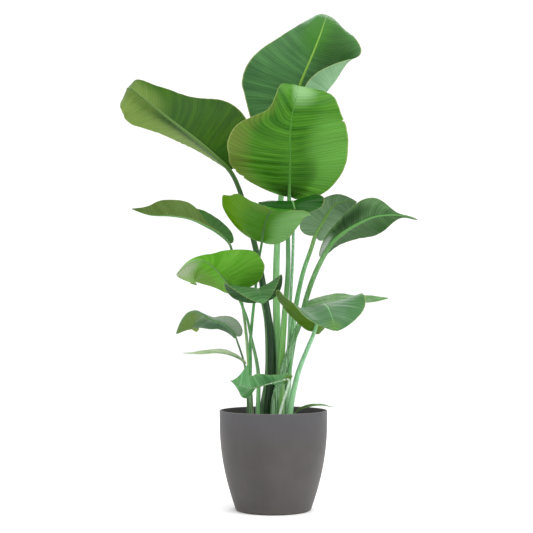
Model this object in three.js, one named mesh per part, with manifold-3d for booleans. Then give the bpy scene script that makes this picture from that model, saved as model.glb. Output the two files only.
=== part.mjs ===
// A potted bird of paradise: sixteen leaves standing in the soil of a round, tapered planter.
// Millimetres, +Z up, +X to the right and +Y to the back as seen from the front.
// The origin is the centre of the planter's base, on the ground.

import * as THREE from "three";
import { mergeVertices } from "three/addons/utils/BufferGeometryUtils.js";
import Module from "manifold-3d";

const wasm = await Module();
wasm.setup();

// Driving dimensions of the planter
const POT_HEIGHT = 275;
const RIM_RADIUS = 150;
const STRAIGHT_PART = 50;
const TAPER = 43.5;
const TAPER_POWER = 1.9;
const FOOT_FILLET = 8;
const WALL = 3.5;
const FLOOR = 4;
const RIM_ROUNDING = 1.2;
const ROUND_SIDES = 40;

// Driving dimensions of the soil
const SOIL_BELOW_RIM = 34;
const SOIL_CROWN = 7;
const SOIL_SURFACE = POT_HEIGHT - SOIL_BELOW_RIM;
const WALL_HEIGHTS = [40, 85, 135, 190, SOIL_SURFACE];
const GAP = 0.35;

// Driving dimensions that all leaves share
const BLADE_THICKNESS = 1.2;
const FIRST_VEIN = 0.003;
const LAST_VEIN = 0.994;
const VEIN_SWEEP = 0.16;
const FOLD_START = 0.25;
const FOLD_END = 0.8;
const FOLD_STEPS = 8;
const ROW_CROWDING = 1.3;
const WAVE_OFFSET = 0.15;
const STALK_SIDES = 6;
const STALK_TAPER = 1.6;
const RIB_STEPS = 7;
const RIB_TAPER = 1.3;
const RIB_END = 0.96;
const RIB_SINK = 0.7;
const RIB_SINKS_OVER = 0.125;
const TIP_RADIUS = 1;
const CURVE_SAMPLES = 240;

// Each leaf: its stalk runs from inside the soil to the foot of the blade, and the rib goes on from
// there to the tip. thick holds the stalk's diameter in the soil and at the blade, and face the way that
// the upper side looks at the foot of the blade, with twist the degrees that it turns from there to the
// tip. Left and right are as seen on the upper side with the tip up: a half's width, then the angle in
// degrees at which it rises from the rib (lift) and bends further on its way to the margin (curl), at
// even steps from foot to tip, and how far its lobe reaches back past the foot, as a share of the rib.
// wave is the height of the margin's waves and their number, and grid the rows of triangles along the
// blade and across each half.
const LEAVES = {
  leaf_top: {
    stalk: [
      [10, 30, 189], [10, 30, 301], [10, 36, 498], [8, 40, 625], [11, 46, 739], [22, 56, 874],
      [34, 70, 1013],
    ],
    rib: [
      [37, 77, 1080], [60, 84, 1152], [83, 90, 1223], [113, 102, 1296], [138, 119, 1362],
      [156, 159, 1420], [166, 224, 1452], [168, 294, 1450],
    ],
    thick: [28, 15],
    face: [0.15, -1, 0.1],
    twist: 0,
    left: {
      width: [160, 175, 169, 144, 118, 106, 99, 104, 108],
      lift: [0, 0, 0, 0, 0, -2, -5, -10, -15],
      curl: [0, 0, 0, -12, -25, -40, -55, -52, -50], lobe: 0.5,
    },
    right: {
      width: [150, 156, 168, 184, 172, 144, 134, 122, 112], lift: [5, 0, -5, -5, -5, -2, 0, 0, 0],
      curl: [175, 178, 178, 132, 70, 14, -20, -32, -40], lobe: 0.5,
    },
    wave: [3, 3],
    colour: 0x3f7a3c,
    grid: [14, 4],
  },
  leaf_front: {
    stalk: [
      [24, 0, 192], [21, 0, 303], [21, 2, 383], [30, 0, 523], [41, -4, 666], [41, -10, 778],
      [44, -20, 850],
    ],
    rib: [
      [44, -25, 869], [46, -50, 955], [46, -68, 1037], [54, -72, 1106], [66, -58, 1155],
      [70, -22, 1182], [64, 20, 1188],
    ],
    thick: [26, 11.5],
    face: [0, -1, 0],
    twist: 0,
    left: {
      width: [160, 172, 182, 186, 186, 188, 166, 98, 92, 96, 95, 92, 95],
      lift: [0, 1, 3, 7, 12, 20, 28, 38, 45, 36, 25, 12, 0],
      curl: [10, 13, 15, 18, 20, 10, 0, -10, -20, -30, -40, -50, -60], lobe: -0.08,
    },
    right: {
      width: [155, 160, 170, 190, 185], lift: [5, 0, 0, 5, 0],
      curl: [10, 10, 0, 0, 0], lobe: 0.25,
    },
    wave: [5, 4],
    colour: 0x4c9a2f,
    grid: [14, 4],
  },
  leaf_left: {
    stalk: [
      [-23, 8, 191], [-23, 8, 269], [-7, 10, 383], [-9, 14, 484], [-21, 22, 565], [-32, 34, 639],
      [-49, 42, 724], [-75, 42, 823], [-96, 36, 895],
    ],
    rib: [
      [-122, 28, 948], [-165, 20, 990], [-214, 14, 1032], [-270, 12, 1076], [-324, 12, 1118],
      [-368, 16, 1154], [-402, 34, 1184], [-424, 80, 1196], [-420, 140, 1186],
    ],
    thick: [38, 13],
    face: [0, 1, 0],
    twist: 0,
    left: {
      width: [190, 160, 118, 72, 125], lift: [5, 12, 32, 15, 0],
      curl: [10, 10, 10, 0, 0], lobe: 0.2,
    },
    right: {
      width: [110, 98, 102, 136, 138], lift: [85, 78, 60, 24, 5],
      curl: [0, 0, 0, 0, 0], lobe: 0.05,
    },
    wave: [4, 3],
    colour: 0x57902f,
    grid: [14, 3],
  },
  leaf_arching: {
    stalk: [
      [-60, 24, 189], [-63, 26, 301], [-74, 30, 455], [-83, 30, 537], [-100, 20, 639],
      [-116, 8, 717],
    ],
    rib: [
      [-125, 0, 742], [-155, -6, 770], [-189, -12, 789], [-233, -18, 808], [-289, -24, 816],
      [-344, -28, 818], [-397, -30, 835],
    ],
    thick: [12, 7],
    face: [0, 0.3, 1],
    twist: 0,
    left: { width: [3, 10, 48, 64, 45], lift: [60, 70, 62, 55, 40], curl: [0, 0, 0, 0, 0], lobe: 0.1 },
    right: { width: [98, 92, 68, 50], lift: [62, 62, 60, 40], curl: [0, 0, 0, 0], lobe: 0.4 },
    wave: [2, 3],
    colour: 0x6f9a4a,
    grid: [11, 2],
  },
  leaf_centre: {
    stalk: [
      [-65, 0, 192], [-68, 0, 303], [-65, 4, 397], [-65, 10, 456], [-60, 14, 520], [-52, 18, 596],
      [-43, 6, 680],
    ],
    rib: [
      [-32, -42, 742], [-27, -92, 774], [-19, -145, 798], [-8, -198, 813], [4, -238, 815],
      [12, -260, 804],
    ],
    thick: [14, 7],
    face: [-0.1, 0.4, 0.9],
    twist: 0,
    left: { width: [105, 105, 150, 190], lift: [5, 5, -2, -5], curl: [0, 0, 0, 0], lobe: 0.5 },
    right: {
      width: [138, 146, 144, 132, 132, 126, 110], lift: [32, 31, 30, 26, 22, 13, 5],
      curl: [20, 22, 24, 22, 20, 10, 0], lobe: 0.4,
    },
    wave: [3, 3],
    colour: 0x58a022,
    grid: [12, 3],
  },
  leaf_shaded: {
    stalk: [
      [19, 46, 187], [27, 46, 300], [44, 54, 455], [49, 50, 582], [55, 30, 698], [56, -4, 757],
      [56, -34, 797], [54, -54, 835],
    ],
    rib: [[52, -70, 852], [54, -92, 845], [57, -112, 830], [60, -128, 820], [62, -143, 823]],
    thick: [13, 8],
    face: [0, 0.3, 1],
    twist: 0,
    left: { width: [80, 85, 92, 95], lift: [18, 15, 2, -12], curl: [0, 0, 0, 0], lobe: 0.3 },
    right: { width: [85, 98, 98, 80], lift: [0, 0, 0, 0], curl: [0, 0, 0, 0], lobe: 0.3 },
    wave: [2, 3],
    colour: 0x3a7a26,
    grid: [9, 2],
  },
  leaf_middle_left: {
    stalk: [
      [-43, -8, 193], [-43, -8, 270], [-43, -8, 384], [-62, -6, 476], [-76, -4, 537],
      [-95, -2, 581],
    ],
    rib: [
      [-114, -8, 614], [-143, -40, 646], [-169, -74, 674], [-194, -104, 686], [-228, -130, 676],
      [-263, -146, 645],
    ],
    thick: [16, 6.5],
    face: [0, 1, 0.2],
    twist: 45,
    left: { width: [130, 105, 34, 15, 16], lift: [0, -3, 5, 10, 10], curl: [10, 10, 0, 0, 0], lobe: 1 },
    right: {
      width: [60, 74, 82, 110, 196], lift: [40, 35, 20, 2, -10],
      curl: [0, 0, 0, 0, 0], lobe: 0.6,
    },
    wave: [3, 3],
    colour: 0x5ba032,
    grid: [11, 3],
  },
  leaf_dark_centre: {
    stalk: [[-32, -26, 194], [-32, -28, 271], [-20, -24, 382], [-20, -24, 470], [-24, -28, 530]],
    rib: [[-33, -48, 578], [-41, -76, 606], [-41, -106, 611], [-35, -136, 592], [-29, -156, 568]],
    thick: [11, 5.5],
    face: [0, 0.6, 0.7],
    twist: 0,
    left: { width: [74, 76, 74, 64], lift: [22, 22, 22, 0], curl: [10, 10, 10, 0], lobe: 0.5 },
    right: { width: [98, 98, 98, 80], lift: [12, 10, 8, 0], curl: [5, 5, 5, 0], lobe: 0.5 },
    wave: [2, 3],
    colour: 0x357a45,
    grid: [9, 3],
  },
  leaf_right_low: {
    stalk: [[46, -8, 193], [46, -8, 267], [54, -8, 317], [71, -12, 386], [94, -22, 445]],
    rib: [
      [114, -36, 495], [122, -66, 537], [130, -110, 568], [143, -162, 559], [153, -208, 530],
      [159, -240, 496],
    ],
    thick: [22, 11],
    face: [0, 0.7, 0.7],
    twist: 0,
    left: { width: [60, 112, 132, 134], lift: [35, 18, 8, -12], curl: [10, 10, 0, 0], lobe: 0.5 },
    right: { width: [78, 140, 152, 164], lift: [12, -14, -26, -16], curl: [20, 60, 60, 10], lobe: 0.3 },
    wave: [3, 3],
    colour: 0x5f9463,
    grid: [12, 3],
  },
  leaf_narrow_right: {
    stalk: [[38, 36, 188], [41, 36, 300], [53, 44, 413], [70, 54, 497]],
    rib: [[94, 66, 557], [134, 72, 577], [186, 76, 586], [249, 78, 586], [332, 74, 589]],
    thick: [9, 6],
    face: [0, -0.35, 1],
    twist: 0,
    left: { width: [40, 40, 40, 40], lift: [-5, -5, -5, 0], curl: [0, 0, 0, 0], lobe: 0.5 },
    right: { width: [45, 45, 45, 45], lift: [5, 5, 5, 0], curl: [0, 0, 0, 0], lobe: 0.5 },
    wave: [2, 3],
    colour: 0x6aa84a,
    grid: [8, 2],
  },
  leaf_silvery_right: {
    stalk: [[40, 20, 190], [40, 20, 302], [50, 26, 455], [67, 36, 582], [87, 48, 668], [108, 62, 728]],
    rib: [
      [122, 72, 770], [146, 80, 812], [167, 78, 846], [187, 68, 862], [208, 54, 866],
      [238, 34, 862],
    ],
    thick: [20, 12],
    face: [0, 1, 0.2],
    twist: 0,
    left: { width: [45, 42, 60, 85], lift: [10, 10, 10, 0], curl: [0, 0, 0, 0], lobe: 0.5 },
    right: { width: [72, 54, 36, 30], lift: [10, 10, 10, 0], curl: [0, 0, 0, 0], lobe: 0.5 },
    wave: [2, 3],
    colour: 0x7fae85,
    grid: [10, 3],
  },
  leaf_far_right: {
    stalk: [
      [-1, -22, 194], [4, -22, 304], [26, -21, 384], [52, -17, 462], [77, -13, 528], [94, -13, 593],
      [116, -13, 654],
    ],
    rib: [
      [144, -12, 710], [169, -16, 746], [203, -22, 774], [241, -28, 796], [280, -34, 812], [324, -38, 817],
      [367, -30, 815], [406, -10, 806],
    ],
    thick: [22, 14],
    face: [0, 1, 0],
    twist: 0,
    left: {
      width: [30, 50, 72, 84, 66, 14, 20], lift: [60, 60, 57, 48, 34, 10, 0],
      curl: [0, 0, 0, 0, 0, 0, 0], lobe: 0.2,
    },
    right: {
      width: [28, 36, 54, 70, 10, 15], lift: [-20, -22, -25, -20, 0, 0],
      curl: [40, 60, 65, 60, 20, 0], lobe: 0.5,
    },
    wave: [3, 3],
    colour: 0x5f9463,
    grid: [12, 3],
  },
  leaf_low_left: {
    stalk: [[-73, -14, 193], [-71, -16, 300], [-80, -20, 400], [-90, -26, 436], [-99, -30, 462]],
    rib: [
      [-107, -36, 484], [-122, -44, 503], [-146, -52, 518], [-169, -60, 525], [-191, -68, 538],
      [-212, -76, 548], [-233, -84, 542], [-252, -90, 517], [-266, -94, 487],
    ],
    thick: [9, 5],
    face: [0, -1, 0.3],
    twist: 0,
    left: {
      width: [14, 18, 24, 44, 76, 84, 76], lift: [10, 10, 10, 10, 10, 5, 0],
      curl: [0, 0, 0, 0, 0, 0, 0], lobe: 0.4,
    },
    right: {
      width: [40, 32, 12, 5, 6, 8, 8], lift: [-10, -10, -10, -10, -10, 0, 0],
      curl: [0, 0, 0, 0, 0, 0, 0], lobe: 0.5,
    },
    wave: [2, 3],
    colour: 0x5f9a55,
    grid: [9, 2],
  },
  leaf_thin_left: {
    stalk: [[-65, -34, 195], [-65, -38, 305], [-72, -46, 366]],
    rib: [[-84, -54, 412], [-114, -66, 430], [-152, -76, 437], [-196, -86, 434], [-249, -96, 436]],
    thick: [8, 5],
    face: [0, -0.15, 1],
    twist: 0,
    left: { width: [30, 30, 30, 30], lift: [10, 10, 10, 0], curl: [0, 0, 0, 0], lobe: 0.5 },
    right: { width: [30, 30, 30, 30], lift: [10, 10, 10, 0], curl: [0, 0, 0, 0], lobe: 0.5 },
    wave: [1, 3],
    colour: 0x96af7d,
    grid: [8, 2],
  },
  leaf_small_front: {
    stalk: [[10, -48, 194], [16, -50, 262], [34, -58, 326]],
    rib: [
      [42, -70, 362], [8, -88, 357], [-29, -100, 348], [-56, -108, 342], [-88, -112, 349],
      [-119, -112, 363],
    ],
    thick: [10, 6],
    face: [0.1, -1, 0.2],
    twist: 0,
    left: {
      width: [36, 26, 16, 8, 2, 0, 0, 4, 40, 48, 30, 16, 8],
      lift: [-30, -30, -30, -15, 0, 0, 0, 0, 0, 0, 0, 0, 0],
      curl: [0, 0, 0, 0, 0, 0, 0, 0, 0, 0, 0, 0, 0], lobe: 0.2,
    },
    right: {
      width: [30, 26, 22, 25, 28, 35, 42, 48, 50, 60, 140, 60, 0],
      lift: [10, 10, 10, 10, 10, 10, 10, 10, 10, 5, 0, 0, 0],
      curl: [0, 0, 0, 0, 0, 0, 0, 0, 0, 0, 0, 0, 0], lobe: 0.3,
    },
    wave: [1, 3],
    colour: 0x3f8040,
    grid: [14, 2],
  },
  leaf_rim: {
    stalk: [[34, -60, 198], [42, -66, 253]],
    rib: [[67, -74, 278], [88, -82, 289], [126, -92, 295], [163, -98, 290]],
    thick: [6, 4],
    face: [0, 0, 1],
    twist: 0,
    left: { width: [16, 16, 16, 16], lift: [20, 20, 10, 0], curl: [0, 0, 0, 0], lobe: 0.5 },
    right: { width: [16, 16, 16, 16], lift: [20, 20, 10, 0], curl: [0, 0, 0, 0], lobe: 0.5 },
    wave: [1, 2],
    colour: 0x5f9a55,
    grid: [6, 1],
  },
};

// A closed mesh from points and faces, as a solid that can be joined and cut
function solidOf(positions, faces) {
  const flat = new THREE.BufferGeometry();
  flat.setAttribute("position", new THREE.Float32BufferAttribute(positions.flat(), 3));
  flat.setIndex(faces.flat());
  const merged = mergeVertices(flat, 1e-4);
  return new wasm.Manifold(
    new wasm.Mesh({
      numProp: 3,
      vertProperties: merged.attributes.position.array,
      triVerts: new Uint32Array(merged.index.array),
    }),
  );
}

function geometryOf(solid) {
  const mesh = solid.getMesh();
  const geometry = new THREE.BufferGeometry();
  geometry.setAttribute("position", new THREE.Float32BufferAttribute(mesh.vertProperties, 3));
  geometry.setIndex(new THREE.BufferAttribute(mesh.triVerts, 1));
  geometry.computeVertexNormals();
  return geometry;
}

// The solid of a profile turned round the vertical axis
function turned(profile) {
  const points = profile.map(([radius, height]) => new THREE.Vector2(radius, height));
  const lathe = new THREE.LatheGeometry(points, ROUND_SIDES);
  lathe.rotateX(Math.PI / 2);
  lathe.deleteAttribute("normal");
  lathe.deleteAttribute("uv");
  const merged = mergeVertices(lathe, 1e-4);
  const faces = [];
  const index = merged.index.array;
  for (let i = 0; i < index.length; i += 3) {
    const face = [index[i], index[i + 1], index[i + 2]];
    if (new Set(face).size === 3) faces.push(face);
  }
  const corners = [];
  const place = merged.attributes.position;
  for (let i = 0; i < place.count; i++) corners.push([place.getX(i), place.getY(i), place.getZ(i)]);
  return solidOf(corners, faces);
}

// Planter

// Radius of the planter's outside at a height above the ground
function outerRadius(height) {
  const below = Math.max(0, POT_HEIGHT - height - STRAIGHT_PART);
  const reach = POT_HEIGHT - STRAIGHT_PART;
  return RIM_RADIUS - 0.01 * (POT_HEIGHT - height) - TAPER * (below / reach) ** TAPER_POWER;
}

function innerRadius(height) {
  return outerRadius(height) - WALL;
}

function planter() {
  const outside = [];
  for (let step = 0; step <= 3; step++) {
    const turn = (step / 3) * (Math.PI / 2);
    outside.push([
      outerRadius(FOOT_FILLET) - FOOT_FILLET + FOOT_FILLET * Math.sin(turn),
      FOOT_FILLET - FOOT_FILLET * Math.cos(turn),
    ]);
  }
  for (const height of WALL_HEIGHTS) outside.push([outerRadius(height), height]);
  outside.push([RIM_RADIUS, POT_HEIGHT - RIM_ROUNDING]);
  outside.push([RIM_RADIUS - RIM_ROUNDING, POT_HEIGHT]);
  const inside = [[RIM_RADIUS - WALL + RIM_ROUNDING / 2, POT_HEIGHT]];
  for (const height of [POT_HEIGHT - RIM_ROUNDING, ...[...WALL_HEIGHTS].reverse(), FLOOR]) {
    inside.push([innerRadius(height), height]);
  }
  return turned([[0, 0], ...outside, ...inside, [0, FLOOR]]);
}

// Leaves

// A value that runs smoothly through evenly spaced stations, at u from 0 to 1
function along(stations, u) {
  const last = stations.length - 1;
  const place = Math.min(Math.max(u, 0), 1) * last;
  const k = Math.min(Math.floor(place), last - 1);
  const x = place - k;
  const before = stations[Math.max(k - 1, 0)];
  const after = stations[Math.min(k + 2, last)];
  const startSlope = (stations[k + 1] - before) / 2;
  const endSlope = (after - stations[k]) / 2;
  const rise = stations[k + 1] - stations[k];
  const bend = (3 * rise - 2 * startSlope - endSlope) * x * x;
  return stations[k] + startSlope * x + bend + (startSlope + endSlope - 2 * rise) * x * x * x;
}

// The line of a leaf from the end in the soil to the tip, with a frame that is carried along it,
// so that up stays the way that the upper side looks
function centreLine(leaf) {
  const points = [...leaf.stalk, ...leaf.rib].map((p) => new THREE.Vector3(...p));
  const curve = new THREE.CatmullRomCurve3(points, false, "centripetal");
  curve.arcLengthDivisions = CURVE_SAMPLES;
  const lengths = curve.getLengths();
  const length = curve.getLength();
  const footSample = Math.round((leaf.stalk.length / (points.length - 1)) * CURVE_SAMPLES);
  const foot = Math.round((lengths[footSample] / length) * CURVE_SAMPLES);
  const samples = [];
  for (let i = 0; i <= CURVE_SAMPLES; i++) {
    const u = i / CURVE_SAMPLES;
    samples.push({ at: curve.getPointAt(u), tangent: curve.getTangentAt(u) });
  }
  const square = (up, tangent) => up.clone().addScaledVector(tangent, -up.dot(tangent)).normalize();
  samples[foot].up = square(new THREE.Vector3(...leaf.face), samples[foot].tangent);
  for (let i = foot + 1; i <= CURVE_SAMPLES; i++) {
    samples[i].up = square(samples[i - 1].up, samples[i].tangent);
  }
  for (let i = foot - 1; i >= 0; i--) {
    samples[i].up = square(samples[i + 1].up, samples[i].tangent);
  }
  const twist = THREE.MathUtils.degToRad(leaf.twist);
  for (let i = foot; i <= CURVE_SAMPLES; i++) {
    samples[i].up.applyAxisAngle(samples[i].tangent, (twist * (i - foot)) / (CURVE_SAMPLES - foot));
  }
  return { samples, foot: foot / CURVE_SAMPLES, length };
}

// The frame at a share of the line's length
function frameAt(line, share) {
  const place = Math.min(Math.max(share, 0), 1) * CURVE_SAMPLES;
  const k = Math.min(Math.floor(place), CURVE_SAMPLES - 1);
  const a = line.samples[k];
  const b = line.samples[k + 1];
  const tangent = a.tangent.clone().lerp(b.tangent, place - k).normalize();
  const up = a.up.clone().lerp(b.up, place - k).normalize();
  return {
    at: a.at.clone().lerp(b.at, place - k),
    tangent,
    up,
    right: tangent.clone().cross(up),
  };
}

// Outline of the flat blade: how wide a half is where vein m meets the margin, how far along the rib
// that is, and where on the rib the vein starts
const marginWidth = (m) => Math.sin(Math.PI * m ** 0.7) ** 0.8;
const marginReach = (m, lobe) => m - lobe * Math.sqrt(m) * (1 - m) ** 4;
const veinStart = (m) => m - VEIN_SWEEP * Math.sin(Math.PI * m) * Math.sqrt(m);

// The point of the bent blade that lies a share t along vein m, on the left (side -1) or the right (side 1)
function bladePoint(leaf, line, m, t, side) {
  const half = side < 0 ? leaf.left : leaf.right;
  const u = veinStart(m) + (marginReach(m, half.lobe) - veinStart(m)) * t ** 1.5;
  const out = along(half.width, u) * marginWidth(m) * t;
  const frame = frameAt(line, line.foot + Math.max(u, 0) * (1 - line.foot));
  const lift = THREE.MathUtils.degToRad(along(half.lift, u));
  const curl = THREE.MathUtils.degToRad(along(half.curl, u));
  const point = frame.at.clone();
  if (u < 0) point.addScaledVector(frame.tangent, u * (1 - line.foot) * line.length);
  for (let k = 0; k < FOLD_STEPS; k++) {
    const across = ((k + 0.5) / FOLD_STEPS) * t;
    const angle = lift + curl * THREE.MathUtils.smoothstep(across, FOLD_START, FOLD_END);
    point.addScaledVector(frame.right, (side * Math.cos(angle) * out) / FOLD_STEPS);
    point.addScaledVector(frame.up, (Math.sin(angle) * out) / FOLD_STEPS);
  }
  const [height, number] = leaf.wave;
  const swell = Math.sin(2 * Math.PI * (number * m + side * WAVE_OFFSET)) * Math.sin(Math.PI * m);
  return point.addScaledVector(frame.up, height * t * t * swell);
}

// The blade as a thin closed shell, split into triangles alike on both faces
function blade(leaf, line) {
  const [rows, columns] = leaf.grid;
  const across = 2 * columns;
  const sheet = [];
  for (let i = 0; i <= rows; i++) {
    const m = FIRST_VEIN + (LAST_VEIN - FIRST_VEIN) * (i / rows) ** ROW_CROWDING;
    const row = [];
    for (let j = -columns; j <= columns; j++) {
      row.push(bladePoint(leaf, line, m, Math.abs(j) / columns, Math.sign(j) || 1));
    }
    sheet.push(row);
  }
  const normalAt = (i, j) => {
    const down = sheet[Math.max(i - 1, 0)][j];
    const up = sheet[Math.min(i + 1, rows)][j];
    const left = sheet[i][Math.max(j - 1, 0)];
    const right = sheet[i][Math.min(j + 1, across)];
    return right.clone().sub(left).cross(up.clone().sub(down)).normalize();
  };
  const positions = [];
  for (const side of [1, -1]) {
    for (let i = 0; i <= rows; i++) {
      for (let j = 0; j <= across; j++) {
        const offset = (side * BLADE_THICKNESS) / 2;
        positions.push(sheet[i][j].clone().addScaledVector(normalAt(i, j), offset).toArray());
      }
    }
  }
  const number = (top, i, j) => (top ? 0 : (rows + 1) * (across + 1)) + i * (across + 1) + j;
  const faces = [];
  for (let i = 0; i < rows; i++) {
    for (let j = 0; j < across; j++) {
      const leaning = j < columns;
      const cuts = leaning
        ? [[[i, j], [i, j + 1], [i + 1, j + 1]], [[i, j], [i + 1, j + 1], [i + 1, j]]]
        : [[[i, j], [i, j + 1], [i + 1, j]], [[i, j + 1], [i + 1, j + 1], [i + 1, j]]];
      for (const [a, b, c] of cuts) {
        faces.push([number(true, ...a), number(true, ...b), number(true, ...c)]);
        faces.push([number(false, ...a), number(false, ...c), number(false, ...b)]);
      }
    }
  }
  const border = [];
  for (let j = 0; j < across; j++) border.push([0, j]);
  for (let i = 0; i < rows; i++) border.push([i, across]);
  for (let j = across; j > 0; j--) border.push([rows, j]);
  for (let i = rows; i > 0; i--) border.push([i, 0]);
  border.forEach((a, k) => {
    const b = border[(k + 1) % border.length];
    faces.push([number(true, ...a), number(false, ...b), number(true, ...b)]);
    faces.push([number(true, ...a), number(false, ...a), number(false, ...b)]);
  });
  return solidOf(positions, faces);
}

// Radius of the stalk or rib at a share of the line's length
function lineRadius(leaf, line, share) {
  const [inSoil, atBlade] = leaf.thick;
  if (share < line.foot) return (atBlade + (inSoil - atBlade) * (1 - share / line.foot) ** STALK_TAPER) / 2;
  const u = (share - line.foot) / (1 - line.foot);
  return TIP_RADIUS + (atBlade / 2 - TIP_RADIUS) * (1 - u) ** RIB_TAPER;
}

// The stalk and rib as one tapering rod, widened by extra, from a share of the line to another
function rod(leaf, line, extra, end) {
  const stalkSteps = leaf.stalk.length + 1;
  const shares = [];
  for (let k = 0; k < stalkSteps; k++) shares.push((line.foot * k) / stalkSteps);
  for (let k = 0; k <= RIB_STEPS; k++) {
    shares.push(line.foot + ((1 - line.foot) * RIB_END * k) / RIB_STEPS);
  }
  const kept = shares.filter((share) => share <= end);
  const positions = [];
  kept.forEach((share, ring) => {
    const frame = frameAt(line, share);
    const radius = lineRadius(leaf, line, share) + extra;
    const u = Math.max(0, (share - line.foot) / (1 - line.foot));
    const sink = RIB_SINK * radius * Math.min(1, u / RIB_SINKS_OVER);
    const centre = frame.at.clone().addScaledVector(frame.up, -sink);
    if (ring === 0) centre.addScaledVector(frame.tangent, -extra);
    for (let k = 0; k < STALK_SIDES; k++) {
      const turn = (2 * Math.PI * (k + 0.5)) / STALK_SIDES;
      const point = centre.clone();
      point.addScaledVector(frame.right, radius * Math.cos(turn));
      point.addScaledVector(frame.up, radius * Math.sin(turn));
      positions.push(point.toArray());
    }
  });
  const faces = [];
  for (let ring = 0; ring < kept.length - 1; ring++) {
    for (let k = 0; k < STALK_SIDES; k++) {
      const a = ring * STALK_SIDES + k;
      const b = ring * STALK_SIDES + ((k + 1) % STALK_SIDES);
      faces.push([a, a + STALK_SIDES, b], [b, a + STALK_SIDES, b + STALK_SIDES]);
    }
  }
  const top = (kept.length - 1) * STALK_SIDES;
  for (let k = 1; k < STALK_SIDES - 1; k++) {
    faces.push([0, k, k + 1]);
    faces.push([top, top + k + 1, top + k]);
  }
  return solidOf(positions, faces);
}

// Soil

function soil(lines) {
  const wall = [];
  for (const height of [FLOOR + GAP, ...WALL_HEIGHTS]) wall.push([innerRadius(height) - GAP, height]);
  const top = [];
  for (const share of [0.6, 0]) {
    top.push([share * innerRadius(SOIL_SURFACE), SOIL_SURFACE + SOIL_CROWN * (1 - share * share)]);
  }
  let body = turned([[0, FLOOR + GAP], ...wall, ...top]);
  for (const name of Object.keys(LEAVES)) {
    const line = lines[name];
    body = body.subtract(rod(LEAVES[name], line, GAP, line.foot));
  }
  return body;
}

// Assembly

function material(colour, roughness) {
  return new THREE.MeshStandardMaterial({ color: colour, roughness, metalness: 0 });
}

const plant = new THREE.Group();

function add(name, solid, colour, roughness) {
  const mesh = new THREE.Mesh(geometryOf(solid), material(colour, roughness));
  mesh.name = name;
  plant.add(mesh);
}

const lines = {};
for (const [name, leaf] of Object.entries(LEAVES)) lines[name] = centreLine(leaf);

add("pot", planter(), 0x625d5b, 0.55);
add("soil", soil(lines), 0x33251c, 0.95);
for (const [name, leaf] of Object.entries(LEAVES)) {
  const whole = blade(leaf, lines[name]).add(rod(leaf, lines[name], 0, 1));
  add(name, whole, leaf.colour, 0.45);
}

export default plant;
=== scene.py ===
import math

import bpy
import numpy as np
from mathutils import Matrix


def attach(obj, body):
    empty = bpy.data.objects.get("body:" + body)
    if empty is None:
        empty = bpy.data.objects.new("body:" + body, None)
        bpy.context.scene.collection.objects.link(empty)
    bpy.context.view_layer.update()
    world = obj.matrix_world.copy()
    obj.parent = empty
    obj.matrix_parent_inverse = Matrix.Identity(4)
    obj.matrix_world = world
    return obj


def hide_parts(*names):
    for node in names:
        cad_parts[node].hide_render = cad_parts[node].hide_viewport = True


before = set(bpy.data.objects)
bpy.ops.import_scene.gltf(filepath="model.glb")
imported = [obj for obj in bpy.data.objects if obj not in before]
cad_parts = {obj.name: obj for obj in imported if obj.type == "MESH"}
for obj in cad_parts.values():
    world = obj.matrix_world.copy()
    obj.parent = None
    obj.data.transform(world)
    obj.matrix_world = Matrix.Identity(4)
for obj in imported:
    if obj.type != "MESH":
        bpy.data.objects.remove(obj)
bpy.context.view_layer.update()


# Planter
# One deep tub of dark warm grey plastic, moulded in one shot in a polished steel tool with a fine grain.
# Its wall is straight under the rim and draws in below in a soft curve to a smaller flat foot.
# The lip is only as thick as the wall and is rounded over where the two halves of the tool meet.

POT_HEIGHT = 0.275
RIM_RADIUS = 0.150
STRAIGHT_PART = 0.050
DRAFT = 0.01
TAPER = 0.0435
TAPER_POWER = 1.9
FOOT_FILLET = 0.008
WALL = 0.0035
FLOOR = 0.004
LIP_ROUNDING = 0.0012
ROUND_SIDES = 160
DARK_PLASTIC = (66, 63, 62)
WARM_PLASTIC = (73, 70, 69)
FLOW_MARK = (80, 76, 74)
SKY_SHEEN = (72, 72, 76)
SHEEN_HEIGHTS = (0.16, 0.27)
LIGHT_LIP_TOP = (112, 108, 106)
LIP_HEIGHTS = (0.2728, 0.2746)
DUST = (92, 86, 79)
DUSTY_FOOT = 0.02


def paint(red, green, blue):
    """A colour given as a paint chart gives it, 0 to 255, in the renderer's linear numbers"""
    shares = [value / 255 for value in (red, green, blue)]
    return tuple(s / 12.92 if s <= 0.04045 else ((s + 0.055) / 1.055) ** 2.4 for s in shares) + (1.0,)


def put(tree, kind, sockets, **settings):
    """A shader node with its settings, and its sockets linked or set"""
    node = tree.nodes.new(kind)
    for setting, value in settings.items():
        setattr(node, setting, value)
    for socket, value in sockets.items():
        if isinstance(value, bpy.types.NodeSocket):
            tree.links.new(value, node.inputs[socket])
        else:
            node.inputs[socket].default_value = value
    return node


def new_material(name):
    material = bpy.data.materials.new(name)
    material.use_nodes = True
    material.node_tree.nodes.clear()
    return material, material.node_tree


def grain(tree, vector, scale, detail=2.0, roughness=0.5):
    """Soft random spots, from 0 to 1"""
    sockets = {"Vector": vector, "Scale": scale, "Detail": detail, "Roughness": roughness}
    return put(tree, "ShaderNodeTexNoise", sockets).outputs["Fac"]


def place_in(tree):
    return put(tree, "ShaderNodeTexCoord", {}).outputs["Object"]


def stretched(tree, vector, *scale):
    return put(tree, "ShaderNodeMapping", {"Vector": vector, "Scale": scale}).outputs[0]


def eased(tree, value, low, high, to_low=0.0, to_high=1.0):
    """The value's place between low and high, eased at both ends, as a number from to_low to to_high"""
    sockets = {"Value": value, "From Min": low, "From Max": high, "To Min": to_low, "To Max": to_high}
    return put(tree, "ShaderNodeMapRange", sockets, interpolation_type="SMOOTHSTEP").outputs[0]


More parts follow.
